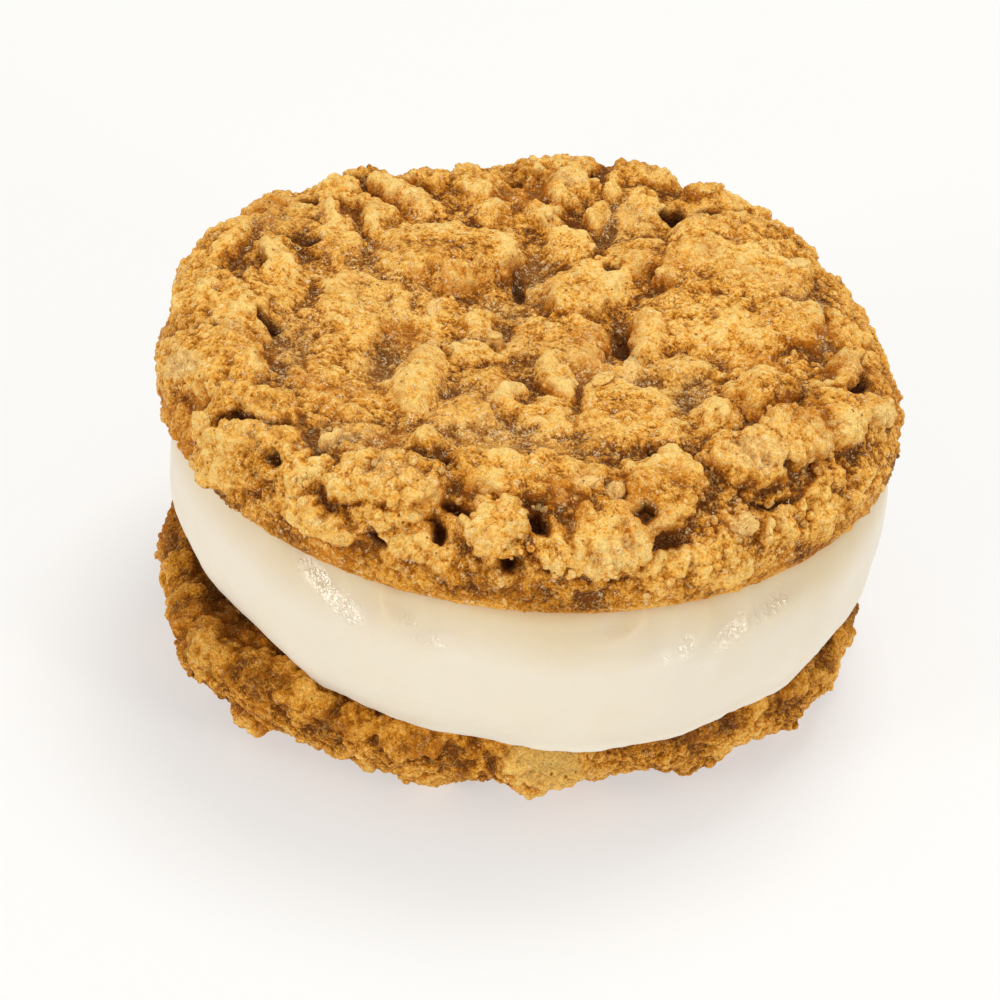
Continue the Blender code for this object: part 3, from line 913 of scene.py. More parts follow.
TOP_DULL = (
    Plate(-17.0, -27.5, 4.6, 2.8, 0, 1.0),
    Plate(-16.0, -12.5, 4.6, 2.4, 88, 1.0),
    Plate(-1.0, 10.0, 4.6, 2.2, 84, 1.0),
    Plate(8.0, -11.5, 2.6, 2.4, 0, 0.9),
    Plate(12.2, -11.4, 3.8, 2.0, 92, 0.9),
    Plate(17.2, -14.0, 5.0, 2.0, 88, 0.9),
    Plate(8.5, 22.0, 4.4, 3.0, 84, 0.9),
    Plate(-30.0, 14.5, 4.0, 3.6, 20, 0.6),
    Plate(-26.6, -11.5, 8.0, 3.4, 88, 0.75),
    Plate(-2.0, -25.2, 9.0, 3.6, 0, 0.75),
    Plate(28.0, 8.5, 4.4, 2.0, -10, 0.6),
    Plate(-4.0, 3.5, 3.4, 2.4, 0, 0.8),
    Plate(-7.0, -4.7, 2.6, 1.6, 0, 0.8),
    Plate(-27.5, -27.0, 4.4, 2.2, -20, 0.5),
    Plate(-18.5, 4.0, 6.0, 9.0, 0, 0.45),
    Plate(4.0, -8.0, 7.0, 5.0, 0, 0.45),
    Plate(-8.0, -20.0, 5.0, 5.0, 0, 0.45),
)

BOTTOM_PLATES = (
    Plate(-45.0, -14.0, 4.0, 2.6, -70, 1.2),
    Plate(-41.5, -22.0, 4.6, 2.8, -60, 1.5),
    Plate(-36.0, -28.5, 4.8, 3.0, -50, 1.6),
    Plate(-31.5, -36.0, 5.0, 3.0, -38, 1.5),
    Plate(-25.5, -39.0, 4.4, 2.8, -34, 1.5),
    Plate(-18.5, -42.0, 3.4, 2.6, -30, 1.1),
    Plate(-10.5, -45.0, 5.0, 2.6, -12, 1.4),
    Plate(0.8, -45.6, 2.6, 2.2, 0, 0.8),
    Plate(6.0, -43.8, 6.2, 4.2, 12, 2.0),
    Plate(14.5, -44.6, 2.6, 1.8, 14, 0.9),
    Plate(20.5, -42.2, 5.0, 2.2, 26, 1.2),
    Plate(27.0, -38.4, 4.6, 2.2, 34, 1.1),
    Plate(34.0, -33.0, 5.0, 2.4, 46, 1.4),
    Plate(40.0, -26.0, 4.0, 2.2, 58, 1.3),
    Plate(44.0, -17.5, 3.6, 2.0, 66, 1.0),
)

BOTTOM_PALE = (
    Plate(5.8, -43.2, 6.0, 4.4, 12, 0.9),
    Plate(-36.0, -28.5, 4.0, 2.4, -50, 0.5),
)


def scattered(count: int, inner: float, outer: float, seed: int,
              skip: Callable[[float, float], bool]) -> tuple[Plate, ...]:
    """Plates for crust that has none of its own, spread by the golden angle.

    Args:
        count: How many places are tried.
        inner, outer: Unrolled ring that they fill, mm.
        seed: Picks their shifts.
        skip: Says where there are none.

    Returns:
        The plates.
    """
    made = []
    for n in range(count):
        s = math.sqrt(inner ** 2 + (outer ** 2 - inner ** 2) * (n + 0.5) / count)
        turn = n * GOLDEN_ANGLE
        jig, jog = (hashed(np.array([n]), np.array([seed]), np.array([k]), seed)[0]
                    for k in (3, 9))
        x, y = s * math.cos(turn) + 1.5 * jig, s * math.sin(turn) + 1.5 * jog
        if not skip(x, y):
            made.append(Plate(x, y, 3.7 + 1.4 * jog, 2.7 + 0.8 * jig, 90.0 * (jig + jog),
                              1.3 + 0.7 * jig * jog + 0.3 * jig, 0.45))
    return tuple(made)


def torn_height(x: Array, y: Array, tear: Array, plates: tuple[Plate, ...],
                edge: Array | float, lop: Array | float = OWN_LEAN) -> Array:
    """Highest plate over each place.

    Args:
        x, y: Unrolled places, mm.
        tear: How far noise moves the plates' edges, mm.
        plates: The plates; their order gives each its own lean.
        edge: Width of a plate's sloping edge, mm.
        lop: How lopsided the plates are, as a share of their rise.

    Returns:
        Height, mm.
    """
    best = np.zeros(len(x))
    for n, plate in enumerate(plates):
        along, across = plate.local(x, y)
        away = np.hypot(along, across)
        size = np.hypot(along * plate.a, across * plate.b) / (away + 1e-9)
        inside = (1.0 - away) * size + tear
        flat = smooth(inside / edge + 0.5)
        shoulder = 0.80 + 0.20 * smooth(inside / 1.8)
        ball = np.sqrt(np.clip(1.0 - (away * 0.93) ** 2, 0.0, 1.0))
        lean = 1.0 + lop * (math.sin(n * 2.4) * along + math.cos(n * 1.7) * across)
        body = (1.0 - plate.dome) * shoulder + plate.dome * ball
        best = np.maximum(best, plate.rise * lean * flat * body)
    return best


def spots(x: Array, y: Array, plates: tuple[Plate, ...], crisp: float) -> Array:
    """Adds up soft spots.

    Args:
        x, y: Unrolled places, mm.
        plates: The spots; the rise of each is its strength.
        crisp: 1 makes them bells, 3 makes them boxes.

    Returns:
        Their sum at each place.
    """
    out = np.zeros(len(x))
    for plate in plates:
        along, across = plate.local(x, y)
        out += plate.rise * np.exp(-((along * along + across * across) ** crisp))
    return out


@dataclass
class Ground:
    """A cookie's plain form, before its relief: one value or row a vertex."""

    hidden: Array               # which vertices lie on the plain face, against the cream
    share: Array                # how far out they lie, 0 in the middle to 1 at the edge
    theta: Array                # direction, radians
    s: Array                    # unrolled distance from the middle, mm
    past: Array                 # unrolled distance past the widest ring, mm
    x: Array                    # unrolled place, mm
    y: Array
    base: Array                 # place, mm
    normal: Array               # where the surface faces
    outward: Array              # the way out along the surface
    cover: Array                # 1 where there is crust
    rim: Array                  # 0 in the field to 1 on the rim
    lip: Array                  # 1 on the upper cookie's edge, which sinks in less
    tear: Array                 # how far noise moves edges, mm


# ---- crumbs and flakes -------------------------------------------------------
@dataclass(frozen=True)
class Bits:
    """Many small pieces of one kind, stuck on a cookie's crust."""

    name: str
    count: int                  # loose ones, besides the placed ones
    size: tuple[float, float, float]    # half sizes of a middling one, mm
    spread: float               # how many times larger the largest is than the smallest
    sink: float                 # how deep a piece sits, as a share of its thickness
    seed: int
    lean: float = 0.3           # how far a flat piece tilts out of the crust
    pale: float = 0.5           # how pale they are, 0 to 1
    segments: int = 7
    rings: int = 5
    dense: tuple[Plate, ...] = ()   # where they lie close together; else they are even
    placed: tuple[Plate, ...] = ()  # pieces at places of their own; the rise is how pale
    floor_gap: float = 1.2      # none sits lower over the floor, mm
    seam: float = 12.5          # height of the seam below the cream, mm
    seam_gap: float = 1.0       # none sits nearer to the seam, mm

    def pattern(self) -> tuple[Array, Array]:
        """One round piece of radius 1.

        Returns:
            Its points, and its faces as triangles.
        """
        bm = bmesh.new()
        bmesh.ops.create_uvsphere(bm, u_segments=self.segments, v_segments=self.rings,
                                  radius=1.0)
        bmesh.ops.triangulate(bm, faces=bm.faces)
        points = np.array([v.co[:] for v in bm.verts])
        faces = np.array([[v.index for v in f.verts] for f in bm.faces])
        bm.free()
        return points, faces

    def chosen(self, skin: Skin, ground: Ground, draw: np.random.Generator) -> Array:
        """Picks the points of the crust that the pieces sit on.

        Args:
            skin: The crust.
            ground: Its plain form.
            draw: Random draws.

        Returns:
            Numbers of the points: those of the placed pieces come first.
        """
        x, y, height = ground.x, ground.y, skin.points[:, 2]
        own = [int(np.argmin((x - p.x) ** 2 + (y - p.y) ** 2)) for p in self.placed]
        weight = 0.35 + 4.0 * np.clip(spots(x, y, self.dense, 1.0), 0.0, 1.0)
        weight *= ground.cover > 0.9
        weight *= height > self.floor_gap
        weight *= np.abs(height - self.seam) > self.seam_gap
        rest = draw.choice(len(x), self.count, replace=False, p=weight / weight.sum())
        return np.array(own + rest.tolist())

    def sizes(self, count: int, draw: np.random.Generator) -> tuple[Array, Array]:
        """Draws sizes and directions; a placed piece has its own.

        Args:
            count: How many pieces there are.
            draw: Random draws.

        Returns:
            Half sizes, mm, one row a piece, and directions, radians.
        """
        scale = np.array(self.size) * np.exp(
            (draw.random((count, 1)) - 0.5) * math.log(self.spread)
            + (draw.random((count, 3)) - 0.5) * 0.4)
        turn = draw.random(count) * 2.0 * math.pi
        for k, own in enumerate(self.placed):
            scale[k, :2] = own.a, own.b
            turn[k] = math.radians(own.turn)
        return scale, turn

    def axes(self, normal: Array, turn: Array,
             draw: np.random.Generator) -> tuple[Array, Array, Array]:
        """Tilts each piece a little out of the crust.

        Args:
            normal: Where the crust faces below each piece.
            turn: Directions, radians.
            draw: Random draws.

        Returns:
            Unit vectors ahead, to the side and up through each piece.
        """
        count = len(turn)
        up = unit_length(normal + (draw.random((count, 3)) - 0.5) * 2.0 * self.lean)
        heading = np.stack([np.cos(turn), np.sin(turn), np.zeros(count)], 1)
        side = unit_length(np.cross(up, heading))
        return np.cross(side, up), side, up

    @staticmethod
    def shapes(unit: Array, scale: Array, draw: np.random.Generator) -> Array:
        """Makes each piece knobbly, and bends it a little along its length.

        Args:
            unit: Points of the round piece.
            scale: Half sizes, mm, one row a piece.
            draw: Random draws.

        Returns:
            Points of each piece about its own middle, mm.
        """
        count = len(scale)
        own_field = unit[None] * 1.3 + draw.random((count, 1, 3)) * 90.0
        knobs = drift(own_field.reshape(-1, 3), 5).reshape(count, -1, 1)
        shape = unit[None] * (1.0 + 0.35 * knobs) * scale[:, None]
        bend = draw.random((count, 1)) - 0.3
        shape[:, :, 2] += 0.14 * shape[:, :, 0] ** 2 / scale[:, :1] * bend
        return shape

    def looks(self, skin: Skin, at: Array, draw: np.random.Generator) -> dict[str, Array]:
        """Works out what the finish reads: that of the crust below, but paler.

        Args:
            skin: The crust.
            at: Points that the pieces sit on.
            draw: Random draws.

        Returns:
            One number a piece for each name.
        """
        paler = self.pale * (0.6 + 0.8 * draw.random(len(at)))
        paler[:len(self.placed)] = [p.rise for p in self.placed]
        looks = {key: value[at] for key, value in skin.painted.items()}
        # the crust's painted light and shade come along: more painted light on the crumbs' tops,
        # less painted glow on walls and less painted shade in holes
        looks["crest"] = np.clip(looks["crest"] + 0.25 * paler, 0.0, 1.0)
        looks["flake"] = np.clip(0.5 * looks["flake"] + paler, 0.0, 1.0)
        looks["fine"] = np.full(len(at), 0.6)
        for key, kept in (("dull", 0.4), ("wall", 0.3), ("hole", 0.5)):
            looks[key] = looks[key] * kept
        return looks

    def strew(self, skin: Skin, ground: Ground, material: bpy.types.Material,
              slot: str) -> bpy.types.Object:
        """Makes the pieces, as one mesh with the crust's finish.

        Args:
            skin: The crust.
            ground: Its plain form.
            material: Its finish.
            slot: The record's material slot; not used.

        Returns:
            The finished piece.
        """
        draw = np.random.default_rng(self.seed)
        unit, faces = self.pattern()
        at = self.chosen(skin, ground, draw)
        scale, turn = self.sizes(len(at), draw)
        normal = skin.normals()[at]
        ahead, side, up = self.axes(normal, turn, draw)
        shape = self.shapes(unit, scale, draw)
        seat = skin.points[at] + normal * (scale[:, 2:] * (1.0 - 2.0 * self.sink))
        points = (seat[:, None] + shape[:, :, :1] * ahead[:, None]
                  + shape[:, :, 1:2] * side[:, None] + shape[:, :, 2:] * up[:, None])
        all_faces = faces[None] + (np.arange(len(at)) * len(unit))[:, None, None]
        mesh = bpy.data.meshes.new(self.name)
        mesh.from_pydata(((points.reshape(-1, 3) - CENTRE) * MM).tolist(), [],
                         all_faces.reshape(-1, 3).tolist())
        for key, value in self.looks(skin, at, draw).items():
            store(mesh, key, np.repeat(value, len(unit)))
        obj = dressed(mesh, material)
        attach(obj, "root")
        log.info("%s: %d pieces", self.name, len(at))
        return obj


# where the top crust's crumbs lie close together
TOP_CLUSTERS = (
    Plate(6.5, -34.5, 4.5, 1.6, 5, 1.0),
    Plate(3.4, -42.6, 2.6, 2.2, 0, 1.0),
    Plate(9.6, -41.0, 4.6, 3.0, 42, 0.6),
    Plate(-2.0, -41.0, 3.4, 3.0, 0, 0.5),
    Plate(24.0, -33.0, 5.0, 4.0, 30, 0.6),
    Plate(28.0, -24.0, 8.0, 4.0, 45, 0.5),
    Plate(-14.0, -34.4, 6.0, 3.0, -8, 0.4),
    Plate(-24.0, -33.0, 6.0, 3.0, -10, 0.4),
    Plate(-35.0, -12.0, 4.0, 8.0, 0, 0.3),
    Plate(-3.0, -27.0, 12.0, 3.0, 0, 0.3),
    Plate(0.0, 0.0, 9.0, 9.0, 0, 0.15),
)

TOP_CRUMBS = Bits(
    "top_crumbs", 800, (0.38, 0.31, 0.27), 2.6, 0.5, 21, dense=TOP_CLUSTERS,
    placed=(Plate(-4.7, -4.9, 1.3, 0.9, 90, 0.5), Plate(6.3, -34.0, 1.1, 0.8, 10, 1.0),
            Plate(9.2, -34.2, 0.7, 0.9, 0, 1.0), Plate(8.0, -33.4, 0.6, 0.6, 0, 0.8),
            Plate(23.8, -34.0, 1.5, 1.1, 20, 1.0)))

TOP_FLAKES = Bits(
    "top_oat_flakes", 8, (1.4, 1.0, 0.24), 1.5, 0.6, 22, lean=0.06, pale=0.4, segments=9,
    placed=(Plate(-11.8, 1.5, 2.4, 0.8, 82, 0.9), Plate(-11.5, -5.5, 1.7, 0.8, 88, 0.7),
            Plate(28.5, 13.0, 1.3, 0.9, 0, 0.7), Plate(10.8, -9.0, 2.4, 1.0, 85, 0.7)))

BOTTOM_CRUMBS = Bits("bottom_crumbs", 600, (0.38, 0.31, 0.27), 2.6, 0.5, 31, pale=0.3)


# ---- cookies -----------------------------------------------------------------
class Baked(Enum):
    """Which way a cookie's baked side faces."""

    UP = 1.0
    DOWN = -1.0


@dataclass
class Cookie:
    """One craggy cookie.  Heights and radii, in mm, are those of its solid."""

    name: str
    node: str
    slot: str
    finish: CrustFinish
    baked: Baked
    radius: float               # widest ring
    ring: float                 # its height
    crest: float                # height of the rounded rim
    middle: float               # height of the middle of the baked side
    shoulder: float             # how far the rim rounds over
    undercut: float             # how far the flat face stays inside the ring
    face: float                 # height of the flat face
    field: float                # unrolled radius of the field inside the rim
    swells: tuple[Swell, ...]
    seed: int
    plates: tuple[Plate, ...]
    lumps: tuple[Plate, ...] = ()
    hollows: tuple[Plate, ...] = ()
    holes: tuple[Plate, ...] = ()
    pale: tuple[Plate, ...] = ()
    dull: tuple[Plate, ...] = ()
    bits: tuple[Bits, ...] = ()     # loose crumbs and flakes on the crust
    lift: float = 0.0           # the rim stands this much higher at the back
    rim: float = 17.2           # unrolled width of the rim
    under: float = 2.6          # unrolled width from the ring to the flat face
    ledge: float = 1.0          # width of fine crust on the flat face
    sag: float = 0.0            # how far that crust lies under the flat face
    rings: int = 178            # rows of triangles from the middle to the flat face
    rim_start: float = 25.0     # unrolled distance where the rim's rougher crust begins
    rim_ease: float = 8.0       # and the width over which it does
    # band: strength of the painted shade low at the front
    band: float = 1.0           # how much darker the crust is low at the front
    front: float = -95.0        # direction of that front, degrees
    front_half: float = 30.0    # and its half width, degrees

    def section(self) -> tuple[Array, Array, Array]:
        """Half section from the baked middle over the rim to the flat face.

        Returns:
            Radius, height and unrolled distance along it, mm.
        """
        inner = np.linspace(0.0, 1.0, 60)
        quarter = np.linspace(0.0, math.pi / 2, 40)[1:]
        part = quarter / (math.pi / 2)
        r = [(self.radius - self.shoulder) * inner,
             self.radius - self.shoulder * (1.0 - np.sin(quarter)),
             self.radius - self.undercut * (1.0 - np.cos(quarter)),
             self.radius - self.undercut - self.ledge * inner[1:]]
        z = [self.middle + (self.crest - self.middle) * np.sin(inner * math.pi / 2) ** 2,
             self.ring + (self.crest - self.ring) * np.cos(quarter),
             self.ring + (self.face - self.sag - self.ring) * np.sin(quarter),
             self.face - self.sag * (1.0 - inner[1:] ** 3)]
        s = [self.field * inner, self.field + self.rim * part,
             self.field + self.rim + self.under * part,
             self.field + self.rim + self.under + self.ledge * inner[1:]]
        return np.concatenate(r), np.concatenate(z), np.concatenate(s)

    def blank(self) -> Skin:
        """Makes a closed disc: an even net of triangles on top, a plain face below.

        Returns:
            The skin, its upper side in the unit hexagon at z = 0.
        """
        bm = bmesh.new()
        bmesh.ops.create_circle(bm, cap_ends=True, cap_tris=True, segments=6, radius=1.0)
        bmesh.ops.subdivide_edges(bm, edges=bm.edges[:], cuts=self.rings - 1,
                                  use_grid_fill=True)
        for inset in (0.9, 0.5):
            edge = [e for e in bm.edges if e.is_boundary]
            grown = bmesh.ops.extrude_edge_only(bm, edges=edge)["geom"]
            verts = [v for v in grown if isinstance(v, bmesh.types.BMVert)]
            bmesh.ops.scale(bm, verts=verts, vec=(inset, inset, 1.0))
            for v in verts:
                v.co.z = -1.0
        rest = [e for e in bm.edges if e.is_boundary]
        bmesh.ops.contextual_create(bm, geom=rest)
        bmesh.ops.recalc_face_normals(bm, faces=bm.faces)
        if self.baked is Baked.DOWN:
            bmesh.ops.reverse_faces(bm, faces=bm.faces)
        return Skin(self.name, bm)

    @staticmethod
    def unroll(points: Array) -> tuple[Array, Array]:
        """Turns the unit hexagon into a unit disc, rows becoming circles.

        Args:
            points: Places in the hexagon.

        Returns:
            Share of the way out, and direction in radians.
        """
        sixth, corner = math.pi / 3, math.pi / 6
        turn = (np.arctan2(points[:, 1], points[:, 0]) - corner) % (2.0 * math.pi)
        side = np.floor(turn / sixth + 1e-6)
        start = side * sixth + corner
        ax, ay = np.cos(start), np.sin(start)
        bx, by = np.cos(start + sixth), np.sin(start + sixth)
        cross = ax * by - ay * bx
        along_a = (points[:, 0] * by - points[:, 1] * bx) / cross
        along_b = (points[:, 1] * ax - points[:, 0] * ay) / cross
        out = along_a + along_b
        return out, start + along_b / np.maximum(out, 1e-9) * sixth

    def ground(self, skin: Skin) -> Ground:
        """Lays out the plain form: the section turned round, with its swells.

        Args:
            skin: The blank.

        Returns:
            The plain form.
        """
        hidden = skin.points[:, 2] < -0.5
        share, theta = self.unroll(skin.points)
        cos, sin = np.cos(theta), np.sin(theta)
        r_line, z_line, s_line = self.section()
        s_ring = self.field + self.rim
        s = np.clip(share, 0.0, 1.0) * s_line[-1]
        r, z = np.interp(s, s_line, r_line), np.interp(s, s_line, z_line)
        dr = np.interp(s, s_line, np.gradient(r_line, s_line))
        dz = np.interp(s, s_line, np.gradient(z_line, s_line))
        steep = np.hypot(dr, dz)
        dr, dz = dr / steep, dz / steep
        z = z + (self.lift * np.clip(sin, 0.0, 1.0)
                 * smooth(s / 26.0) * smooth((s_ring - s) / 14.0))
        r_out = r + swell(theta, self.swells) * smooth((r - 14.0) / 24.0)
        base = np.stack([r_out * cos, r_out * sin, z], 1)
        up = self.baked.value
        reach = self.under if self.baked is Baked.UP else self.under + self.ledge
        past = s - s_ring
        return Ground(
            hidden=hidden, share=share, theta=theta, s=s, past=past, x=s * cos, y=s * sin,
            base=base,
            normal=np.stack([-dz * up * cos, -dz * up * sin, dr * up], 1),
            outward=np.stack([dr * cos, dr * sin, dz], 1),
            cover=smooth((s_ring + reach - s) / 2.0) * ~hidden,
            rim=smooth((s - self.rim_start) / self.rim_ease),
            lip=smooth((past + 4.0) / 3.0) * (self.baked is Baked.UP),
            tear=layered(base, self.seed, TEAR))

    def relief(self, at: Ground) -> tuple[Array, Array]:
        """Works out the larger relief: plates, lumps, hollows and rolling ground.

        Args:
            at: The plain form.

        Returns:
            How far it stands up from the plain form and hangs outwards, mm.
        """
        px = at.x + layered(at.base, self.seed, BEND_X)
        py = at.y + layered(at.base, self.seed, BEND_Y)
        soft = smooth(0.4 + 1.3 * drift(at.base / EDGE_PATCH, self.seed + 8))
        edge = 0.9 + (4.6 - 2.2 * at.rim) * soft
        high = torn_height(px, py, at.tear, self.plates, edge, 0.38 - 0.18 * at.rim)
        high *= 1.0 - 0.12 * at.rim
        small = torn_height(at.x, at.y, at.tear * 0.4, self.lumps, 0.8)
        low = spots(px, py, self.hollows, 1.0)
        rough = (0.55 * drift(at.base / ROLLING, self.seed + 20)
                 + 0.8 * np.abs(drift(at.base / RIDGES, self.seed + 21)) - 0.22)
        relief = np.maximum(high, small) + low + rough
        relief += np.maximum(-relief, 0.0) * 0.8 * at.lip
        hang = np.zeros(len(at.x))
        for plate in self.plates + self.lumps:
            if plate.hang:
                along, across = plate.local(at.x, at.y)
                hang += plate.hang * smooth((1.35 - np.hypot(along, across)) / 0.6)
        hang *= smooth(high / 2.4)
        return relief, hang

    def crumble(self, skin: Skin, at: Ground, pits: Array) -> None:
        """Adds three sizes of round grain and the holes to the form.

        Args:
            skin: The mesh with its larger relief.
            at: Its plain form.
            pits: Depth of the holes, below 0.
        """
        where = skin.points.copy()
        warp = np.stack([drift(where / WARP, self.seed + k) for k in (30, 31, 32)], 1) * 0.8
        lumpy = domes((where + warp) / LUMP_GRAIN, self.seed + 40) - 0.5
        crumbs = domes((where + warp * 0.5) / CRUMB_GRAIN, self.seed + 41) - 0.5
        sand = domes(where / SAND_GRAIN, self.seed + 42) - 0.5
        calm = np.clip(spots(at.x, at.y, self.dull, 1.0), 0.0, 1.0)
        rougher = smooth((at.s - (self.rim_start - 1.0)) / self.rim_ease)
        bold = (0.75 + 0.25 * rougher) * (1.0 - 0.35 * calm)
        detail = bold * ((0.44 + 0.08 * at.rim) * lumpy + (0.38 + 0.16 * at.rim) * crumbs)
        detail += (0.24 + 0.06 * at.rim) * sand + 0.8 * pits
        detail += np.maximum(-detail, 0.0) * 0.6 * at.lip
        skin.points += skin.normals() * (detail * at.cover)[:, None]

    def rest(self, skin: Skin, at: Ground) -> None:
        """Keeps the cookie on its side of its flat face and over the floor.

        Args:
            skin: The mesh.
            at: Its plain form.
        """
        inner = self.radius - self.undercut - self.ledge + swell(at.theta, self.swells)
        inner = inner * at.share
        flat = np.stack([inner * np.cos(at.theta), inner * np.sin(at.theta),
                         np.full(len(inner), self.face)], 1)
        skin.points = np.where(at.hidden[:, None], flat, skin.points)
        if self.baked is Baked.UP:
            skin.points[:, 2] = np.maximum(skin.points[:, 2], self.face)
        else:
            away = np.hypot(skin.points[:, 0], skin.points[:, 1])
            free = smooth(away - CreamBand().foot(at.theta) - 0.2)
            skin.points[:, 2] = np.clip(skin.points[:, 2], 0.0, self.face + 0.7 * free)

    def paint(self, skin: Skin, at: Ground, pits: Array) -> None:
        """Stores what the crust finish reads.

        Args:
            skin: The finished form.
            at: Its plain form.
            pits: Depth of the holes, below 0.
        """
        wide, fine = skin.stand_out(WIDE_ROUNDS), skin.stand_out(FINE_ROUNDS)
        tilt = 1.0 - (skin.normals() * at.normal).sum(1)
        # painted shade: low at the front, over the rim and along the lower edge by the cream
        front = np.exp(-(turned_from(at.theta, self.front) / self.front_half) ** 2)
        low_front = self.band * front * smooth((at.past + 5.5) / 4.0)
        # how far the crust stands out, broad and fine: the finish paints light on the tops and
        # shade in the hollows from these
        skin.paint("crest", np.clip(0.5 + wide / 2.2, 0.0, 1.0))
        skin.paint("fine", np.clip(0.5 + fine / 0.22, 0.0, 1.0))
        # steep walls, where the finish paints a warm amber glow
        skin.paint("wall", smooth((tilt - 0.25) / 0.6) * at.cover)
        skin.paint("flake", np.clip(spots(at.x, at.y, self.pale, 2.0), 0.0, 1.0))
        skin.paint("dull", np.clip(spots(at.x, at.y, self.dull, 1.5), 0.0, 1.0))
        # holes, where the finish paints shade
        skin.paint("hole", smooth((-pits - 0.3) / 1.2))
        skin.paint("band", np.maximum(
            low_front, 0.32 * at.rim + 0.65 * smooth((at.past + 1.0) / 2.0)))

    def build(self) -> bpy.types.Object:
        """Makes the cookie's mesh, with what the finish needs painted on it.

        Returns:
            The finished piece.
        """
        skin = self.blank()
        at = self.ground(skin)
        relief, hang = self.relief(at)
        skin.points = (at.base + at.normal * (relief * at.cover)[:, None]
                       + at.outward * (hang * at.cover)[:, None])
        skin.slide(EVEN_ROUNDS, at.cover)
        pits = spots(at.x + 1.6 * at.tear, at.y - 1.2 * at.tear, self.holes, 1.5)
        self.crumble(skin, at, pits)
        self.rest(skin, at)
        self.paint(skin, at, pits)
        log.info("%s: %d points", self.name, len(skin.points))
        material = self.finish.material()
        obj = skin.finish(material)
        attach(obj, "root")
        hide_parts(self.node)
        for bits in self.bits:
            bits.strew(skin, at, material, self.slot)
        return obj


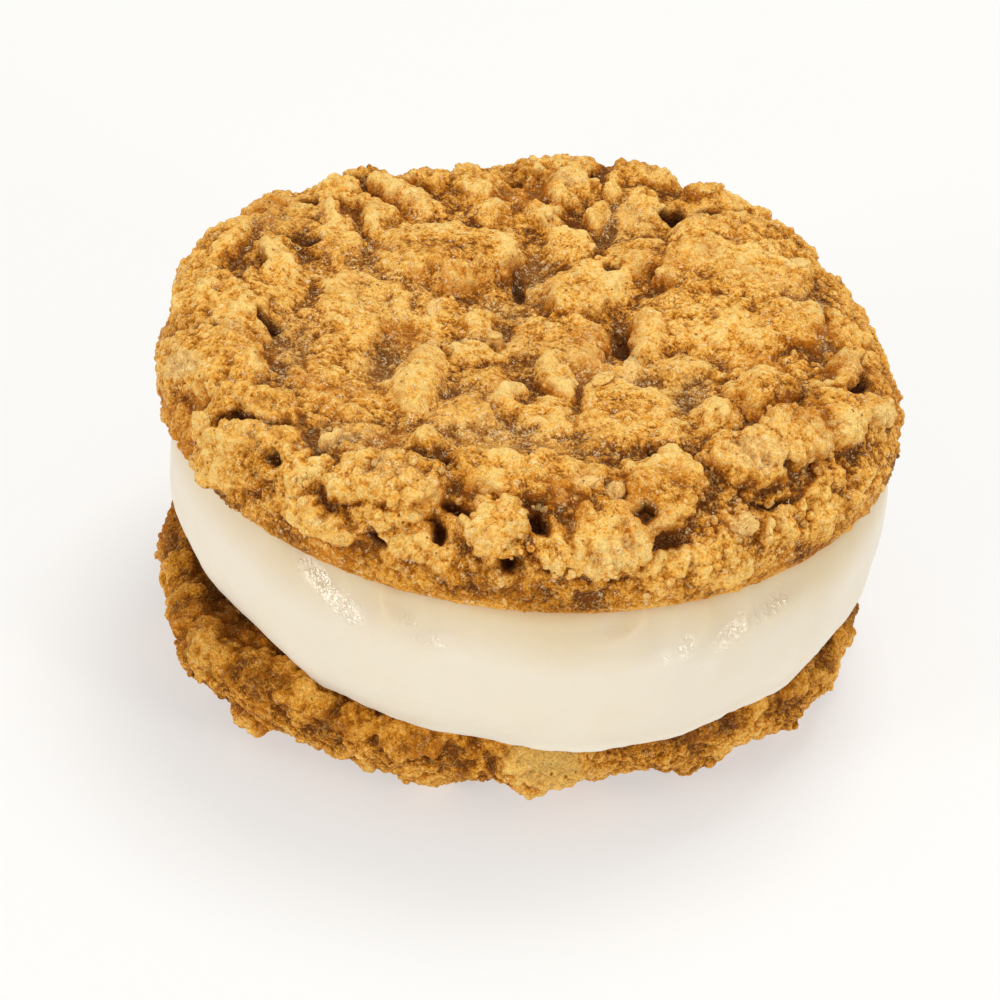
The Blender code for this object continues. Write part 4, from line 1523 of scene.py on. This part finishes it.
# ---- cream -------------------------------------------------------------------
@dataclass
class CreamBand:
    """The band of cream between the flat faces."""

    name: str = "cream_band"
    low: float = 13.05          # heights of its foot and its top, mm
    high: float = 30.78
    radius: float = 41.0
    tuck_high: float = 1.3      # how far the wall draws in under the top cookie
    tuck_low: float = 2.8       # and above the bottom cookie
    columns: int = 560
    rows: int = 76
    seed: int = 0
    swells: tuple[Swell, ...] = (
        (-68.0, 16.0, 1.1), (-100.0, 18.0, 0.7), (-148.0, 18.0, -1.6),
        (180.0, 14.0, -0.8), (60.0, 30.0, -0.6), (120.0, 22.0, -0.4))
    insets: tuple[Swell, ...] = (
        (-146.0, 22.0, 1.9), (-180.0, 16.0, 0.8), (-75.0, 14.0, -0.8))
    over: float = 1.16          # how far up the wall goes, its flat top being 1
    lean: float = 1.0           # how far it leans back over a wet swell
    lip_height: float = 1.3     # height of the uneven lip along its foot, mm
    brim: tuple[tuple[float, float], ...] = (   # inset and drop of the rows after it, mm
        (0.5, -0.1), (1.2, 0.2), (2.2, 0.8), (3.0, 1.4))
    shines: tuple[Plate, ...] = (               # x runs along the wall from its front
        Plate(-21.5, 27.8, 3.2, 1.1, -24, 1.0), Plate(-17.2, 26.3, 1.9, 1.5, -12, 1.0),
        Plate(-10.6, 27.0, 1.6, 1.0, -20, 0.5), Plate(-7.4, 25.7, 1.5, 1.0, 10, 0.6),
        Plate(11.5, 28.6, 1.6, 0.4, 5, 0.5), Plate(16.7, 25.0, 0.5, 0.5, 0, 1.0),
        Plate(19.0, 25.8, 1.2, 1.3, 15, 1.0), Plate(24.6, 26.1, 2.4, 1.4, 30, 1.0),
        Plate(30.2, 27.2, 3.0, 0.9, 12, 0.9))

    def foot(self, theta: Array) -> Array:
        """Radius of the wall where it meets the bottom cookie."""
        return self.wall(theta, np.full_like(theta, -1.0))

    def wall(self, theta: Array, u: Array) -> Array:
        """Works out the round wall.

        Args:
            theta: Directions, radians.
            u: Heights, -1 at its foot and 1 at its top.

        Returns:
            Radius, mm.
        """
        radius = self.radius + swell(theta, self.swells)
        tuck = np.where(u < 0.0, self.tuck_low + swell(theta, self.insets), self.tuck_high)
        ripple = (0.22 * np.sin(9.0 * theta + 1.0)
                  + 0.14 * np.sin(17.0 * theta + 2.0 + 1.5 * u))
        return radius - tuck * np.abs(u) ** 2.8 + ripple * (0.4 - 0.6 * u)

    def along(self, theta: Array) -> Array:
        """Distance along the wall from its front, mm, to the right."""
        return ((theta + 1.5 * math.pi) % (2.0 * math.pi) - math.pi) * self.radius

    def wet(self, theta: Array, z: Array) -> Array:
        """Where the wall is wet and rippled, 0 to 1, at directions and heights."""
        return np.clip(spots(self.along(theta), z, self.shines, 1.0), 0.0, 1.0)

    def shoulders(self, theta: Array, z: Array) -> Array:
        """Works out how far the wall leans back over its wet swells.

        Args:
            theta: Directions, radians.
            z: Heights, mm.

        Returns:
            Depth, mm.
        """
        x, out = self.along(theta), np.zeros(len(z))
        for p in self.shines:
            tilt = math.tan(math.radians(p.turn))
            over = z - p.y - (x - p.x) * tilt
            near = np.exp(-0.5 * ((x - p.x) / max(1.2 * p.a, 2.4)) ** 2)
            out = np.maximum(out, self.lean * near * smooth(over / max(2.4 * p.b, 2.4) + 0.5))
        return out

    def blank(self) -> Skin:
        """Makes a closed tube of radius 1.

        Returns:
            The skin, its rows at z = 0, 1, 2 and so on.
        """
        bm = bmesh.new()
        bmesh.ops.create_circle(bm, segments=self.columns, radius=1.0)
        first = bm.edges[:]
        edges = first
        for _ in range(self.rows + len(self.brim) - 1):
            grown = bmesh.ops.extrude_edge_only(bm, edges=edges)["geom"]
            verts = [v for v in grown if isinstance(v, bmesh.types.BMVert)]
            bmesh.ops.translate(bm, verts=verts, vec=(0.0, 0.0, 1.0))
            edges = [e for e in grown if isinstance(e, bmesh.types.BMEdge)]
        bmesh.ops.contextual_create(bm, geom=edges)
        bmesh.ops.contextual_create(bm, geom=first)
        bmesh.ops.recalc_face_normals(bm, faces=bm.faces)
        return Skin(self.name, bm)

    def build(self) -> bpy.types.Object:
        """Makes the band: a round wall that turns in at its top, and plain flat faces.

        Returns:
            The finished piece.
        """
        skin = self.blank()
        theta = np.arctan2(skin.points[:, 1], skin.points[:, 0])
        row = skin.points[:, 2]
        u = np.sin(math.pi * (np.minimum(row / (self.rows - 1), 1.0) - 0.5))
        u = np.where(u > 0.0, u * self.over, u)
        r = self.wall(theta, u)
        z = (self.low + self.high) / 2 + (self.high - self.low) / 2 * u
        # folds and leaning swells on the wall, and the uneven lip along its foot
        plain = np.stack([r * np.cos(theta), r * np.sin(theta), z], 1)
        folds = layered(plain, self.seed, FOLDS)
        lip = layered(plain, self.seed, LIP) + 0.25
        r = r + folds * smooth((1.0 + u) * 6.0) - self.shoulders(theta, z)
        r += np.maximum(lip, 0.0) * smooth((self.low + self.lip_height - z) / 1.2)
        # the brim turns in and down under the top cookie
        turned = np.maximum(row - self.rows + 1, 0.0)
        inset, drop = np.array(((0.0, 0.0),) + self.brim).T
        r -= np.interp(turned, np.arange(len(inset)), inset)
        z -= np.interp(turned, np.arange(len(drop)), drop)
        skin.points = np.stack([r * np.cos(theta), r * np.sin(theta), z], 1)
        # where the finish paints shade and warm bounce light under the top cookie
        skin.paint("under", 0.5 * smooth((u - 0.1) / 0.8) + 0.5 * smooth((u - 0.8) / 0.3))
        skin.paint("wet", self.wet(theta, z))
        log.info("%s: %d points", self.name, len(skin.points))
        obj = skin.finish(CreamFinish().material())
        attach(obj, "root")
        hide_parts("cream_filling")
        return obj


# ---- studio ------------------------------------------------------------------
@dataclass(frozen=True)
class Softbox:
    """A square soft light."""

    name: str
    azimuth: float              # degrees from the camera's side, to the right
    elevation: float            # degrees
    distance: float             # m
    size: float                 # m
    power: float                # W
    colour: Colour = (1.0, 0.99, 0.97)

    def light(self, target: Vector) -> None:
        """Hangs the light.

        Args:
            target: What it is aimed at, m.
        """
        lamp = bpy.data.lights.new(self.name, "AREA")
        lamp.shape = "SQUARE"
        lamp.size = self.size
        lamp.energy = self.power
        lamp.color = self.colour
        a, e = math.radians(self.azimuth), math.radians(self.elevation)
        away = Vector((math.sin(a) * math.cos(e), -math.cos(a) * math.cos(e), math.sin(e)))
        obj = linked(self.name, lamp)
        obj.location = target + away * self.distance
        obj.rotation_mode = "QUATERNION"
        obj.rotation_quaternion = away.to_track_quat("Z", "Y")


@dataclass
class Studio:
    """Pale floor, soft lights and the camera at the photo's angle."""

    target: tuple[float, float, float] = (-1.94, -7.39, 22.0)   # mm
    elevation: float = 33.0     # degrees
    roll: float = 5.5           # degrees
    distance: float = 380.0     # mm
    lens: float = 122.8         # mm
    sensor: float = 36.0        # mm
    floor_half: float = 3.0     # m
    world: float = 0.56         # strength of the even light
    softboxes: tuple[Softbox, ...] = (
        Softbox("softbox_left", -50.0, 20.0, 0.8, 0.19, 1.7),
        Softbox("softbox_right", 52.0, 19.0, 0.8, 0.19, 1.4),
        Softbox("softbox_top", 150.0, 72.0, 0.9, 0.4, 3.9),
        Softbox("softbox_small", -24.0, 18.0, 0.8, 0.1, 0.3),
    )

    def camera(self) -> None:
        """Sets the camera, rolled as in the photo."""
        data = bpy.data.cameras.new("camera")
        data.lens = self.lens
        data.sensor_width = self.sensor
        data.clip_start, data.clip_end = 0.01, 20.0
        e, r = math.radians(self.elevation), math.radians(self.roll)
        back = Vector((0.0, -math.cos(e), math.sin(e)))
        level = Vector((1.0, 0.0, 0.0))
        upright = level.cross(-back)
        right = math.cos(r) * level + math.sin(r) * upright
        up = -math.sin(r) * level + math.cos(r) * upright
        turn = Matrix((right, up, back)).transposed().to_4x4()
        place = Vector(self.target) * MM + back * (self.distance * MM)
        obj = linked("camera", data)
        obj.matrix_world = Matrix.Translation(place) @ turn
        bpy.context.scene.camera = obj

    def floor(self) -> None:
        """Lays the floor."""
        bm = bmesh.new()
        bmesh.ops.create_grid(bm, x_segments=1, y_segments=1, size=self.floor_half)
        mesh = bpy.data.meshes.new("floor")
        bm.to_mesh(mesh)
        bm.free()
        mesh.materials.append(FloorFinish().material())
        linked("floor", mesh)

    def sky(self) -> None:
        """Sets the even light from all round and the plain view transform."""
        world = bpy.data.worlds.new("studio")
        world.use_nodes = True
        back = world.node_tree.nodes["Background"]
        back.inputs["Color"].default_value = (1.0, 1.0, 1.0, 1.0)
        back.inputs["Strength"].default_value = self.world
        scene = bpy.context.scene
        scene.world = world
        scene.view_settings.view_transform = "Standard"
        scene.view_settings.look = "None"
        scene.view_settings.exposure = 0.0
        scene.view_settings.gamma = 1.0

    def set_up(self) -> None:
        """Puts everything in place."""
        self.camera()
        self.floor()
        self.sky()
        for box in self.softboxes:
            box.light(Vector((0.0, 0.0, self.target[2] * MM)))
        log.info("studio: %d softboxes", len(self.softboxes))


# ---- the pie -----------------------------------------------------------------
def make_top() -> Cookie:
    """Sets out the top cookie, baked side up.

    Returns:
        The cookie, not yet built.
    """
    return Cookie(
        name="top_crust", node="top_cookie", slot="top_cookie",
        finish=CrustFinish("top_crust_finish"), baked=Baked.UP,
        radius=40.2, ring=33.0, crest=42.1, middle=40.1, shoulder=10.0,
        undercut=0.9, face=30.8, field=31.0,
        swells=((-88.0, 40.0, 1.3), (180.0, 18.0, 0.9), (146.0, 17.0, 2.3),
                (111.0, 12.0, -1.4), (76.0, 11.0, 2.2), (44.0, 12.0, 1.9),
                (19.0, 9.0, 0.6), (-8.0, 14.0, 0.8)),
        plates=TOP_PLATES + scattered(46, 31.0, 47.0, 4,
                                      lambda x, y: y < 14.0 + 0.25 * abs(x)),
        lumps=TOP_LUMPS, hollows=TOP_HOLLOWS, holes=TOP_HOLES,
        pale=TOP_PALE, dull=TOP_DULL, seed=11, bits=(TOP_CRUMBS, TOP_FLAKES), lift=1.1)


def make_bottom() -> Cookie:
    """Sets out the bottom cookie, baked side down.

    Returns:
        The cookie, not yet built.
    """
    return Cookie(
        name="bottom_crust", node="bottom_cookie", slot="bottom_cookie",
        finish=CrustFinish("bottom_crust_finish", shade=0.12, flaky=0.6, glint_strength=0.2,
                           flake=srgb(255, 208, 112)),
        baked=Baked.DOWN,
        radius=38.4, ring=9.0, crest=0.9, middle=2.6, shoulder=12.0,
        undercut=3.0, face=13.0, field=27.0,
        swells=((180.0, 16.0, 1.9), (-144.0, 11.0, 3.3), (-118.0, 12.0, 0.6),
                (-90.0, 9.0, -1.4), (-67.0, 7.0, -2.0), (-50.0, 8.0, -0.7),
                (-25.0, 12.0, 0.8), (8.0, 16.0, 1.4), (75.0, 25.0, 0.8),
                (125.0, 15.0, -0.6)),
        plates=BOTTOM_PLATES + scattered(84, 3.0, 44.0, 8,
                                         lambda x, y: math.hypot(x, y) > 38.0
                                         and y < -8.0),
        pale=BOTTOM_PALE, seed=37, bits=(BOTTOM_CRUMBS,),
        under=5.0, ledge=6.0, sag=0.9, band=0.5)


def main() -> None:
    """Builds the scene."""
    logging.basicConfig(level=logging.INFO, format="%(name)s: %(message)s")
    Studio().set_up()
    for maker in (make_top(), CreamBand(), make_bottom()):
        piece = maker.build()
        log.info("made %s", piece.name)


if __name__ == "__main__":
    main()
